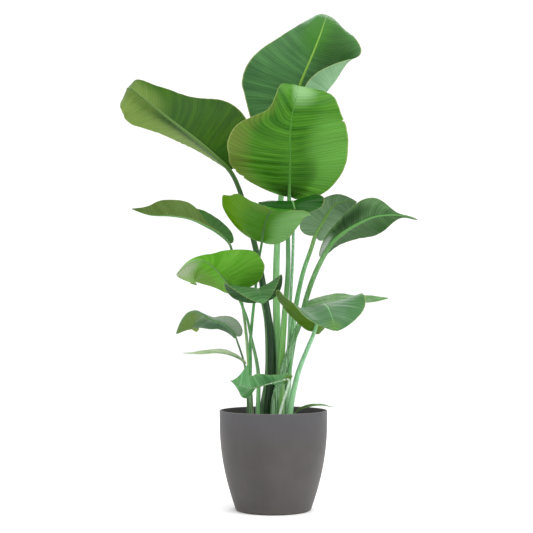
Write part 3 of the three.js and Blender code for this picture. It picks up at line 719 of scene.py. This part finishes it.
top_leaf = leaf(
    "top_leaf", face=[0.15, -1, 0.1], thick=[28, 15], wave=[3, 3], seed=11, pleat=0.4,
    stalk=[[10, 30, 189], [10, 30, 301], [10, 36, 498], [8, 40, 625], [11, 46, 739], [22, 56, 874],
           [34, 70, 1013]],
    rib=[[37, 77, 1080], [60, 84, 1152], [83, 90, 1223], [113, 102, 1296], [138, 119, 1362],
         [156, 159, 1420], [166, 224, 1452], [168, 294, 1450]],
    left=dict(width=[160, 175, 169, 144, 118, 106, 99, 104, 108], lift=[0, 0, 0, 0, 0, -2, -5, -10, -15],
              curl=[0, 0, 0, -12, -25, -40, -55, -52, -50], lobe=0.5),
    right=dict(width=[150, 156, 168, 184, 172, 144, 134, 122, 112], lift=[5, 0, -5, -5, -5, -2, 0, 0, 0],
               curl=[175, 178, 178, 132, 70, 14, -20, -32, -40], lobe=0.5),
    upper=dict(deep=(32, 74, 36), fresh=(64, 112, 58), vein=(100, 144, 72), gloss=0.4, rib=(122, 160, 50),
               lines=0.2, light_through=0.2,
               # The last patch, pale at the upper left, is a painted highlight.
               tone_and_light_patches=[(0.2, 0.72, 1.3, 0.24, (44, 104, 0), 0.9), (0.5, 0.5, 0.6, 0.35, (14, 58, 4), 0.85),
                        (-0.75, 0.8, 0.3, 0.16, (112, 150, 120), 0.7)]),
    under=dict(deep=(104, 150, 104), fresh=(132, 176, 128), vein=(170, 202, 150), gloss=0.42,
               light_through=0.25, bloom=(150, 190, 152)),
    skin=dict(foot=(116, 180, 98), middle=(122, 178, 116), top=(92, 134, 26), edge=(168, 204, 168),
              side_shade=(58, 108, 56), steps=(0.45, 0.85, 1.0, 1.2), tip=(48, 98, 34)),
)
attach(top_leaf, "root")
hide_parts("leaf_top")


# Front leaf
# The broadest leaf faces the front on a long upright stalk and hides the middle of the plant.
# Its blade is bright green and glossy, pleated along the side veins, with short tears in its margins.

front_leaf = leaf(
    "front_leaf", face=[0, -1, 0], thick=[26, 11.5], wave=[5, 4], seed=23, pleat=1.3,
    stalk=[[24, 0, 192], [21, 0, 303], [21, 2, 383], [30, 0, 523], [41, -4, 666], [41, -10, 778],
           [44, -20, 850]],
    rib=[[44, -25, 869], [46, -50, 955], [46, -68, 1037], [54, -72, 1106], [66, -58, 1155], [70, -22, 1182],
         [64, 20, 1188]],
    left=dict(width=[160, 172, 182, 186, 186, 188, 166, 98, 92, 96, 95, 92, 95],
              lift=[0, 1, 3, 7, 12, 20, 28, 38, 45, 36, 25, 12, 0],
              curl=[10, 13, 15, 18, 20, 10, 0, -10, -20, -30, -40, -50, -60], lobe=-0.08),
    right=dict(width=[155, 160, 170, 190, 185], lift=[5, 0, 0, 5, 0], curl=[10, 10, 0, 0, 0], lobe=0.25),
    tears=[(1, 0.62, 0.008, 0.05), (-1, 0.14, 0.012, 0.06), (-1, 0.19, 0.01, 0.04)],
    upper=dict(deep=(34, 92, 0), fresh=(86, 148, 38), vein=(130, 176, 70), gloss=0.34, rib=(84, 140, 44),
               lines=0.28,
               # The first patch is the pale olive of the left margin; the others are painted light and shade:
               # a lighter right half where the light falls, painted shade at the foot, a painted shadow right
               # of the rib low down and a painted highlight at the top.
               tone_and_light_patches=[(-1.0, 0.35, 0.5, 0.4, (112, 124, 54), 0.8),
                        (0.75, 0.4, 0.6, 0.4, (102, 162, 70), 0.85),
                        (0.0, 0.0, 0.9, 0.16, (0, 34, 0), 0.95), (0.3, 0.2, 0.3, 0.22, (24, 76, 0), 0.6),
                        (0.1, 0.92, 0.8, 0.2, (150, 194, 136), 0.8)]),
    under=dict(deep=(96, 136, 70), fresh=(134, 168, 96), vein=(160, 190, 120), gloss=0.42),
    skin=dict(foot=(100, 164, 60), middle=(76, 132, 76), top=(54, 112, 18), edge=(150, 196, 144),
              side_shade=(24, 56, 30)),
)
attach(front_leaf, "root")
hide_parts("leaf_front")


# Large left leaf
# The widest reaching leaf leans far out to the left on the thickest stalk and shows its underside in front.
# Light comes through it, so it looks olive, and its tip bends back over itself.

left_leaf = leaf(
    "left_leaf", face=[0, 1, 0], thick=[38, 13], wave=[4, 3], seed=37,
    stalk=[[-23, 8, 191], [-23, 8, 269], [-7, 10, 383], [-9, 14, 484], [-21, 22, 565], [-32, 34, 639],
           [-49, 42, 724], [-75, 42, 823], [-96, 36, 895]],
    rib=[[-122, 28, 948], [-165, 20, 990], [-214, 14, 1032], [-270, 12, 1076], [-324, 12, 1118],
         [-368, 16, 1154], [-402, 34, 1184], [-424, 80, 1196], [-420, 140, 1186]],
    left=dict(width=[190, 160, 118, 72, 125], lift=[5, 12, 32, 15, 0], curl=[10, 10, 10, 0, 0], lobe=0.2),
    right=dict(width=[110, 98, 102, 136, 138], lift=[85, 78, 60, 24, 5], lobe=0.05),
    upper=dict(deep=(38, 92, 26), fresh=(74, 140, 42), vein=(118, 166, 66), gloss=0.3),
    under=dict(deep=(30, 72, 0), fresh=(60, 100, 6), vein=(104, 136, 50), gloss=0.44, rib=(92, 130, 44),
               lines=0.25, light_through=0.35,
               # The second patch, paler over the lower half, is a painted highlight, and the third, darker at
               # the foot, is painted shade.
               tone_and_light_patches=[(0.0, 0.9, 1.4, 0.34, (120, 146, 70), 0.85),
                        (0.85, 0.5, 0.7, 0.75, (142, 170, 86), 0.9),
                        (-0.2, 0.05, 0.9, 0.2, (36, 80, 0), 0.6)]),
    # The stalk is painted very dark green, partly its own colour and partly painted shade from the clump
    # around it.
    skin=dict(foot=(22, 52, 24), middle=(42, 82, 40), top=(70, 104, 34), edge=(48, 84, 46),
              side_shade=(16, 40, 18)),
)
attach(left_leaf, "root")
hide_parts("leaf_left")


# Arching leaf
# A younger leaf that arches out low to the left, with its two halves still half closed along the rib.
# The near half shows a pale olive underside and the far half a dark upper side.

arching_leaf = leaf(
    "arching_leaf", face=[0, 0.3, 1], thick=[12, 7], wave=[2, 3], seed=41, pleat=0.7, rows=120, columns=20,
    stalk=[[-60, 24, 189], [-63, 26, 301], [-74, 30, 455], [-83, 30, 537], [-100, 20, 639], [-116, 8, 717]],
    rib=[[-125, 0, 742], [-155, -6, 770], [-189, -12, 789], [-233, -18, 808], [-289, -24, 816],
         [-344, -28, 818], [-397, -30, 835]],
    left=dict(width=[3, 10, 48, 64, 45], lift=[60, 70, 62, 55, 40], lobe=0.1),
    right=dict(width=[98, 92, 68, 50], lift=[62, 62, 60, 40], lobe=0.4),
    upper=dict(deep=(20, 70, 0), fresh=(40, 98, 6), vein=(84, 120, 40), gloss=0.75, light_through=0.1),
    under=dict(deep=(70, 96, 28), fresh=(90, 116, 44), vein=(140, 166, 96), gloss=0.44,
               bloom=(100, 126, 70)),
    skin=dict(foot=(124, 160, 62), middle=(84, 134, 84), top=(84, 130, 74), edge=(190, 214, 180),
              side_shade=(60, 104, 50)),
)
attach(arching_leaf, "root")
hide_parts("leaf_arching")


# Centre leaf
# It hangs forward below the front leaf and is seen from underneath.
# Light from above shines through it, so it is the brightest yellow green of all.

centre_leaf = leaf(
    "centre_leaf", face=[-0.1, 0.4, 0.9], thick=[14, 7], wave=[3, 3], seed=53, rows=130, columns=26,
    stalk=[[-65, 0, 192], [-68, 0, 303], [-65, 4, 397], [-65, 10, 456], [-60, 14, 520], [-52, 18, 596],
           [-43, 6, 680]],
    rib=[[-32, -42, 742], [-27, -92, 774], [-19, -145, 798], [-8, -198, 813], [4, -238, 815],
         [12, -260, 804]],
    left=dict(width=[105, 105, 150, 190], lift=[5, 5, -2, -5], lobe=0.5),
    right=dict(width=[138, 146, 144, 132, 132, 126, 110], lift=[32, 31, 30, 26, 22, 13, 5],
               curl=[20, 22, 24, 22, 20, 10, 0], lobe=0.4),
    upper=dict(deep=(36, 94, 20), fresh=(74, 140, 36), vein=(118, 166, 60), gloss=0.3, light_through=0.35),
    under=dict(deep=(50, 116, 0), fresh=(80, 144, 0), vein=(124, 176, 50), gloss=0.42, rib=(64, 104, 16),
               lines=0.35, light_through=0.45,
               # The first patch, pale at the right, is a painted highlight, and the second, yellow green at
               # the left, is painted light let through the blade.
               tone_and_light_patches=[(-0.8, 0.35, 0.8, 0.65, (158, 214, 134), 0.92),
                        (0.8, 0.35, 0.5, 0.6, (108, 158, 0), 0.9),
                        (0.3, 0.9, 0.6, 0.3, (120, 140, 60), 0.6)]),
    skin=dict(foot=(64, 148, 68), middle=(66, 124, 64), top=(48, 96, 28), edge=(124, 176, 118),
              side_shade=(30, 66, 34)),
)
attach(centre_leaf, "root")
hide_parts("leaf_centre")


# Shaded leaf
# A mid sized leaf between the centre leaf and the silvery one, mostly in their shade.
# Its upper side is painted a very dark green, partly its own colour and partly painted shade, with a thin
# yellow green rib on a slender pale stalk.

shaded_leaf = leaf(
    "shaded_leaf", face=[0, 0.3, 1], thick=[13, 8], wave=[2, 3], seed=67, pleat=0.7, rows=110, columns=22,
    stalk=[[19, 46, 187], [27, 46, 300], [44, 54, 455], [49, 50, 582], [55, 30, 698], [56, -4, 757],
           [56, -34, 797], [54, -54, 835]],
    rib=[[52, -70, 852], [54, -92, 845], [57, -112, 830], [60, -128, 820], [62, -143, 823]],
    left=dict(width=[80, 85, 92, 95], lift=[18, 15, 2, -12], lobe=0.3),
    right=dict(width=[85, 98, 98, 80], lift=[0, 0, 0, 0], lobe=0.3),
    # The upper side's very dark greens are partly painted shade.
    upper=dict(deep=(0, 52, 0), fresh=(14, 74, 0), vein=(84, 128, 40), gloss=0.4, rib=(110, 150, 40),
               light_through=0.08),
    under=dict(deep=(60, 104, 40), fresh=(92, 138, 58), vein=(140, 176, 90), gloss=0.4),
    skin=dict(foot=(208, 234, 210), middle=(110, 168, 114), top=(84, 130, 74), edge=(236, 246, 234),
              side_shade=(140, 190, 146), steps=(0.25, 0.45, 0.95, 1.2)),
)
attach(shaded_leaf, "root")
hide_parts("leaf_shaded")


# Middle left leaf
# It leans forward to the left at half height with its underside to the front.
# The rib stands out pale, the right part is bright green and the drooping tip is olive.

middle_left_leaf = leaf(
    "middle_left_leaf", face=[0, 1, 0.2], thick=[16, 6.5], twist=45, wave=[3, 3], seed=71, rows=130,
    columns=26,
    stalk=[[-43, -8, 193], [-43, -8, 270], [-43, -8, 384], [-62, -6, 476], [-76, -4, 537], [-95, -2, 581]],
    rib=[[-114, -8, 614], [-143, -40, 646], [-169, -74, 674], [-194, -104, 686], [-228, -130, 676],
         [-263, -146, 645]],
    left=dict(width=[130, 105, 34, 15, 16], lift=[0, -3, 5, 10, 10], curl=[10, 10, 0, 0, 0], lobe=1),
    right=dict(width=[60, 74, 82, 110, 196], lift=[40, 35, 20, 2, -10], lobe=0.6),
    upper=dict(deep=(38, 92, 26), fresh=(74, 140, 42), vein=(118, 166, 66), gloss=0.3),
    under=dict(deep=(96, 178, 34), fresh=(138, 208, 78), vein=(150, 200, 100), gloss=0.42,
               rib=(110, 160, 60), lines=0.3, light_through=0.45,
               tone_and_light_patches=[(0.0, 1.0, 1.5, 0.36, (180, 178, 166), 0.9),
                        (0.8, 0.5, 0.7, 0.6, (112, 142, 56), 0.8),
                        (-0.8, 0.04, 0.6, 0.16, (56, 112, 8), 0.5)]),
    skin=dict(foot=(130, 206, 130), middle=(74, 130, 70), top=(92, 140, 60), edge=(140, 188, 132),
              side_shade=(36, 76, 40), steps=(0.25, 0.6, 0.95, 1.2)),
)
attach(middle_left_leaf, "root")
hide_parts("leaf_middle_left")


# Dark centre leaf
# A short stalked leaf at the front of the clump that droops towards the viewer like a shallow roof.
# Its underside is a dark bluish green, partly painted shade under the drooping blade, its upper side a
# plainer green, and it has a thin pale margin.

DARK_STALK = dict(foot=(30, 60, 32), middle=(44, 84, 44), top=(70, 116, 60), edge=(100, 140, 90),
                  side_shade=(22, 46, 28))

dark_centre_leaf = leaf(
    "dark_centre_leaf", face=[0, 0.6, 0.7], thick=[11, 5.5], wave=[2, 3], seed=83, pleat=0.7, rows=100,
    columns=20,
    stalk=[[-32, -26, 194], [-32, -28, 271], [-20, -24, 382], [-20, -24, 470], [-24, -28, 530]],
    rib=[[-33, -48, 578], [-41, -76, 606], [-41, -106, 611], [-35, -136, 592], [-29, -156, 568]],
    left=dict(width=[74, 76, 74, 64], lift=[22, 22, 22, 0], curl=[10, 10, 10, 0], lobe=0.5),
    right=dict(width=[98, 98, 98, 80], lift=[12, 10, 8, 0], curl=[5, 5, 5, 0], lobe=0.5),
    upper=dict(deep=(50, 96, 46), fresh=(88, 132, 80), vein=(118, 162, 100), gloss=0.4, light_through=0.2),
    # The underside's dark greens are partly painted shade.
    under=dict(deep=(26, 66, 28), fresh=(46, 90, 44), vein=(110, 150, 90), gloss=0.42, light_through=0.15),
    skin=DARK_STALK,
)
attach(dark_centre_leaf, "root")
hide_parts("leaf_dark_centre")


# Right low leaf
# A leaf that spreads to the right at a third of the height and lies nearly level.
# Its upper side is painted the grey green of a daylight sheen, a painted reflection, with a pale rib and a
# light wavy margin.

right_low_leaf = leaf(
    "right_low_leaf", face=[0, 0.7, 0.7], thick=[22, 11], wave=[3, 3], seed=97, rows=130, columns=26,
    stalk=[[46, -8, 193], [46, -8, 267], [54, -8, 317], [71, -12, 386], [94, -22, 445]],
    rib=[[114, -36, 495], [122, -66, 537], [130, -110, 568], [143, -162, 559], [153, -208, 530],
         [159, -240, 496]],
    left=dict(width=[60, 112, 132, 134], lift=[35, 18, 8, -12], curl=[10, 10, 0, 0], lobe=0.5),
    right=dict(width=[78, 140, 152, 164], lift=[12, -14, -26, -16], curl=[20, 60, 60, 10], lobe=0.3),
    # The grey greens of the upper side are a painted sheen of daylight.
    upper=dict(deep=(62, 100, 64), fresh=(88, 124, 90), vein=(124, 166, 108), gloss=0.4, light_through=0.2,
               tone_and_light_patches=[(-0.9, 0.5, 0.5, 0.7, (56, 108, 52), 0.8),
                        (0.0, 1.0, 1.2, 0.14, (84, 128, 40), 0.8)]),
    under=dict(deep=(64, 106, 14), fresh=(90, 126, 24), vein=(140, 168, 84), gloss=0.42),
    skin=dict(foot=(140, 206, 140), middle=(110, 172, 120), top=(96, 150, 90), edge=(160, 204, 166),
              side_shade=(56, 104, 66)),
)
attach(right_low_leaf, "root")
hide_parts("leaf_right_low")


# Narrow right leaf
# A long narrow leaf behind the right low one, seen nearly edge on, so it shows as a light strip.
# It is a thin stiff strip of leaf on a slender stalk of its own that rises from the soil.

PALE_STALK = dict(foot=(50, 92, 50), middle=(80, 128, 82), top=(84, 130, 74), edge=(128, 170, 124),
                  side_shade=(38, 76, 46))

narrow_right_leaf = leaf(
    "narrow_right_leaf", face=[0, -0.35, 1], thick=[9, 6], wave=[2, 3], seed=101, pleat=0.5, rows=100,
    columns=16,
    stalk=[[38, 36, 188], [41, 36, 300], [53, 44, 413], [70, 54, 497]],
    rib=[[94, 66, 557], [134, 72, 577], [186, 76, 586], [249, 78, 586], [332, 74, 589]],
    left=dict(width=[40, 40, 40, 40], lift=[-5, -5, -5, 0], lobe=0.5),
    right=dict(width=[45, 45, 45, 45], lift=[5, 5, 5, 0], lobe=0.5),
    upper=dict(deep=(62, 112, 48), fresh=(90, 140, 66), vein=(140, 180, 100), gloss=0.4,
               light_through=0.25),
    under=dict(deep=(96, 140, 76), fresh=(132, 170, 100), vein=(160, 190, 120), gloss=0.42),
    skin=PALE_STALK,
)
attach(narrow_right_leaf, "root")
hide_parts("leaf_narrow_right")


# Silvery right leaf
# It turns its underside to the front, which a fine wax bloom makes silvery.
# The rib is a thin yellow green line, and the upper margin is a darker green.

silvery_right_leaf = leaf(
    "silvery_right_leaf", face=[0, 1, 0.2], thick=[20, 12], wave=[2, 3], seed=113, rows=110, columns=22,
    stalk=[[40, 20, 190], [40, 20, 302], [50, 26, 455], [67, 36, 582], [87, 48, 668], [108, 62, 728]],
    rib=[[122, 72, 770], [146, 80, 812], [167, 78, 846], [187, 68, 862], [208, 54, 866], [238, 34, 862]],
    left=dict(width=[45, 42, 60, 85], lift=[10, 10, 10, 0], lobe=0.5),
    right=dict(width=[72, 54, 36, 30], lift=[10, 10, 10, 0], lobe=0.5),
    upper=dict(deep=(36, 88, 34), fresh=(70, 128, 52), vein=(118, 162, 80), gloss=0.3, light_through=0.25),
    under=dict(deep=(74, 114, 70), fresh=(124, 162, 114), vein=(146, 178, 134), gloss=0.42,
               rib=(140, 172, 84), lines=0.8, light_through=0.2, bloom=(148, 172, 146),
               tone_and_light_patches=[(1.0, 0.7, 0.25, 0.4, (40, 92, 26), 0.9),
                        (0.9, 0.3, 0.4, 0.2, (60, 120, 74), 0.7)]),
    skin=dict(foot=(196, 230, 198), middle=(88, 152, 84), top=(98, 140, 62), edge=(170, 208, 172),
              side_shade=(42, 88, 48), steps=(0.2, 0.45, 0.9, 1.1)),
)
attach(silvery_right_leaf, "root")
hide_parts("leaf_silvery_right")


# Far right leaf
# It reaches furthest right on a long leaning stalk, with a very pale and thick rib.
# The underside faces the front, with painted shade in the dark hollow above the rib, and nearly white with
# bloom at its foot.

far_right_leaf = leaf(
    "far_right_leaf", face=[0, 1, 0], thick=[22, 14], wave=[3, 3], seed=127, rows=130, columns=26,
    stalk=[[-1, -22, 194], [4, -22, 304], [26, -21, 384], [52, -17, 462], [77, -13, 528], [94, -13, 593],
           [116, -13, 654]],
    rib=[[144, -12, 710], [169, -16, 746], [203, -22, 774], [241, -28, 796], [280, -34, 812],
         [324, -38, 817], [367, -30, 815], [406, -10, 806]],
    left=dict(width=[30, 50, 72, 84, 66, 14, 20], lift=[60, 60, 57, 48, 34, 10, 0], lobe=0.2),
    right=dict(width=[28, 36, 54, 70, 10, 15], lift=[-20, -22, -25, -20, 0, 0],
               curl=[40, 60, 65, 60, 20, 0], lobe=0.5),
    upper=dict(deep=(34, 82, 38), fresh=(62, 116, 54), vein=(112, 154, 84), gloss=0.3, light_through=0.25),
    under=dict(deep=(44, 80, 38), fresh=(80, 116, 70), vein=(128, 166, 116), gloss=0.42, rib=(120, 160, 84),
               lines=0.3, light_through=0.2,
               # The first patch, nearly black green above the rib, is painted shade in the hollow of the
               # blade.
               tone_and_light_patches=[(0.5, 0.42, 0.5, 0.26, (6, 40, 2), 1.0),
                        (0.6, 0.04, 0.6, 0.22, (178, 188, 178), 0.95),
                        (-0.7, 0.45, 0.7, 0.5, (48, 88, 40), 0.7)]),
    skin=dict(foot=(196, 228, 198), middle=(56, 106, 46), top=(78, 130, 62), edge=(160, 200, 162),
              side_shade=(38, 82, 42), steps=(0.06, 0.16, 0.5, 0.8)),
)
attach(far_right_leaf, "root")
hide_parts("leaf_far_right")


# Low left leaf
# A small leaf that arches out over the rim of the planter on the left and twists on its way to the tip.
# Its blade is soft and thin, so it sags and turns over, and its stalk stands at the left of the clump.

low_left_leaf = leaf(
    "low_left_leaf", face=[0, -1, 0.3], thick=[9, 5], wave=[2, 3], seed=131, pleat=0.7, rows=100,
    columns=18,
    stalk=[[-73, -14, 193], [-71, -16, 300], [-80, -20, 400], [-90, -26, 436], [-99, -30, 462]],
    rib=[[-107, -36, 484], [-122, -44, 503], [-146, -52, 518], [-169, -60, 525], [-191, -68, 538],
         [-212, -76, 548], [-233, -84, 542], [-252, -90, 517], [-266, -94, 487]],
    left=dict(width=[14, 18, 24, 44, 76, 84, 76], lift=[10, 10, 10, 10, 10, 5, 0], lobe=0.4),
    right=dict(width=[40, 32, 12, 5, 6, 8, 8], lift=[-10, -10, -10, -10, -10, 0, 0], lobe=0.5),
    upper=dict(deep=(96, 118, 98), fresh=(138, 156, 140), vein=(116, 150, 108), gloss=0.4,
               light_through=0.25,
               # The last patch, pale grey on the far half near the foot, is a painted sheen, a reflection on
               # the glossy upper side.
               tone_and_light_patches=[(-0.5, 0.85, 1.5, 0.4, (86, 114, 26), 0.95),
                        (-0.6, 0.35, 0.75, 0.36, (40, 80, 48), 0.9),
                        (0.7, 0.25, 0.6, 0.3, (156, 172, 154), 0.8)]),
    under=dict(deep=(96, 128, 60), fresh=(130, 156, 84), vein=(160, 184, 116), gloss=0.4,
               light_through=0.35),
    skin=DARK_STALK,
)
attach(low_left_leaf, "root")
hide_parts("leaf_low_left")


# Thin left leaf
# A narrow pale leaf low on the left, seen edge on.
# Its blade is a narrow strip of leaf on a thin stalk that stands at the left of the clump.

thin_left_leaf = leaf(
    "thin_left_leaf", face=[0, -0.15, 1], thick=[8, 5], wave=[1, 3], seed=139, pleat=0.4, rows=90,
    columns=14,
    stalk=[[-65, -34, 195], [-65, -38, 305], [-72, -46, 366]],
    rib=[[-84, -54, 412], [-114, -66, 430], [-152, -76, 437], [-196, -86, 434], [-249, -96, 436]],
    left=dict(width=[30, 30, 30, 30], lift=[10, 10, 10, 0], lobe=0.5),
    right=dict(width=[30, 30, 30, 30], lift=[10, 10, 10, 0], lobe=0.5),
    upper=dict(deep=(120, 152, 100), fresh=(150, 176, 126), vein=(176, 196, 150), gloss=0.36,
               light_through=0.25),
    under=dict(deep=(124, 154, 104), fresh=(154, 178, 130), vein=(178, 198, 152), gloss=0.42,
               light_through=0.25),
    skin=PALE_STALK,
)
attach(thin_left_leaf, "root")
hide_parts("leaf_thin_left")


# Small front leaf
# A young leaf on a short stalk at the front of the clump, bent over to the left above the rim.
# Blade, rib and stalk grew as one piece, and the blade is broadest towards its tip.

small_front_leaf = leaf(
    "small_front_leaf", face=[0.1, -1, 0.2], thick=[10, 6], wave=[1, 3], seed=149, pleat=0.5, rows=90,
    columns=16,
    stalk=[[10, -48, 194], [16, -50, 262], [34, -58, 326]],
    rib=[[42, -70, 362], [8, -88, 357], [-29, -100, 348], [-56, -108, 342], [-88, -112, 349],
         [-119, -112, 363]],
    left=dict(width=[36, 26, 16, 8, 2, 0, 0, 4, 40, 48, 30, 16, 8],
              lift=[-30, -30, -30, -15, 0, 0, 0, 0, 0, 0, 0, 0, 0], lobe=0.2),
    right=dict(width=[30, 26, 22, 25, 28, 35, 42, 48, 50, 60, 140, 60, 0],
               lift=[10, 10, 10, 10, 10, 10, 10, 10, 10, 5, 0, 0, 0], lobe=0.3),
    upper=dict(deep=(64, 124, 66), fresh=(128, 182, 130), vein=(120, 166, 110), gloss=0.4,
               light_through=0.25,
               tone_and_light_patches=[(0.3, 0.45, 0.8, 0.2, (34, 80, 38), 0.6), (0.0, 0.0, 1.5, 0.2, (92, 112, 4), 0.9),
                        (-0.5, 0.7, 0.7, 0.3, (40, 88, 28), 0.6)]),
    under=dict(deep=(104, 132, 62), fresh=(136, 158, 84), vein=(160, 180, 110), gloss=0.42),
    skin=dict(foot=(222, 244, 226), middle=(150, 198, 152), top=(60, 112, 52), edge=(238, 248, 236),
              side_shade=(120, 170, 124), steps=(0.5, 0.9, 1.0, 1.2)),
)
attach(small_front_leaf, "root")
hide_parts("leaf_small_front")


# Rim leaf
# The smallest leaf has just unrolled from the foot of the clump and lies over the rim on the right.
# Its stalk is short and thin, and its blade is a plain narrow strip that ends in a point.

rim_leaf = leaf(
    "rim_leaf", face=[0, 0, 1], thick=[6, 4], wave=[1, 2], seed=151, pleat=0.3, rows=70, columns=12,
    stalk=[[34, -60, 198], [42, -66, 253]],
    rib=[[67, -74, 278], [88, -82, 289], [126, -92, 295], [163, -98, 290]],
    left=dict(width=[16, 16, 16, 16], lift=[20, 20, 10, 0], lobe=0.5),
    right=dict(width=[16, 16, 16, 16], lift=[20, 20, 10, 0], lobe=0.5),
    upper=dict(deep=(70, 118, 62), fresh=(104, 150, 86), vein=(146, 182, 116), gloss=0.34),
    under=dict(deep=(104, 144, 90), fresh=(136, 170, 116), vein=(164, 190, 138), gloss=0.42),
    skin=PALE_STALK,
)
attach(rim_leaf, "root")
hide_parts("leaf_rim")


# Floor, light and camera
# A plain pale studio floor under a white surround, with one large soft light above and two fainter ones.
# The camera stands three metres off at knee height and looks a little up at the plant.

FLOOR_SIZE = 60.0
CAMERA_PLACE = (-0.0193, -3.2, 0.514)
CAMERA_PITCH = 0.0505
FOCAL_LENGTH = 77.07
SENSOR_WIDTH = 36.0
SURROUND_STRENGTH = 1.1

paper, tree = new_material("pale_floor")
mottle = grain(tree, place_in(tree), 3.0)
finish(tree, mixed(tree, mottle, paint(248, 248, 248), paint(250, 250, 250)), 0.9)
corner = FLOOR_SIZE / 2
corners = [(-corner, -corner, 0.0), (corner, -corner, 0.0), (corner, corner, 0.0), (-corner, corner, 0.0)]
floor = joined(corners, [(0, 1, 2, 3)], "studio_floor", [paper])

world = bpy.data.worlds.new("white_surround")
world.use_nodes = True
surround = world.node_tree.nodes["Background"].inputs
surround["Color"].default_value = (1.0, 1.0, 1.0, 1.0)
surround["Strength"].default_value = SURROUND_STRENGTH
bpy.context.scene.world = world
bpy.context.scene.view_settings.view_transform = "Standard"


def soft_light(name, place, aim, size, power):
    """A square soft box at a place, turned to face a point"""
    lamp = bpy.data.lights.new(name, "AREA")
    lamp.shape = "SQUARE"
    lamp.size = size
    lamp.energy = power
    box = bpy.data.objects.new(name, lamp)
    box.location = place
    from_aim = [place[axis] - aim[axis] for axis in range(3)]
    flat = math.hypot(from_aim[0], from_aim[1])
    turn = math.atan2(from_aim[1], from_aim[0]) + math.pi / 2
    box.rotation_euler = (math.atan2(flat, from_aim[2]), 0.0, turn)
    bpy.context.scene.collection.objects.link(box)


soft_light("overhead_soft_box", (0.5, -1.2, 3.3), (0.0, 0.0, 0.8), 3.4, 88.0)
soft_light("right_soft_box", (2.4, -1.6, 1.6), (0.0, 0.0, 0.7), 1.2, 18.0)
soft_light("back_soft_box", (0.4, 2.4, 2.6), (0.0, 0.0, 0.9), 1.6, 30.0)

lens = bpy.data.cameras.new("camera")
lens.sensor_width = SENSOR_WIDTH
lens.lens = FOCAL_LENGTH
camera = bpy.data.objects.new("camera", lens)
camera.location = CAMERA_PLACE
camera.rotation_euler = (math.pi / 2 + CAMERA_PITCH, 0.0, 0.0)
bpy.context.scene.collection.objects.link(camera)
bpy.context.scene.camera = camera
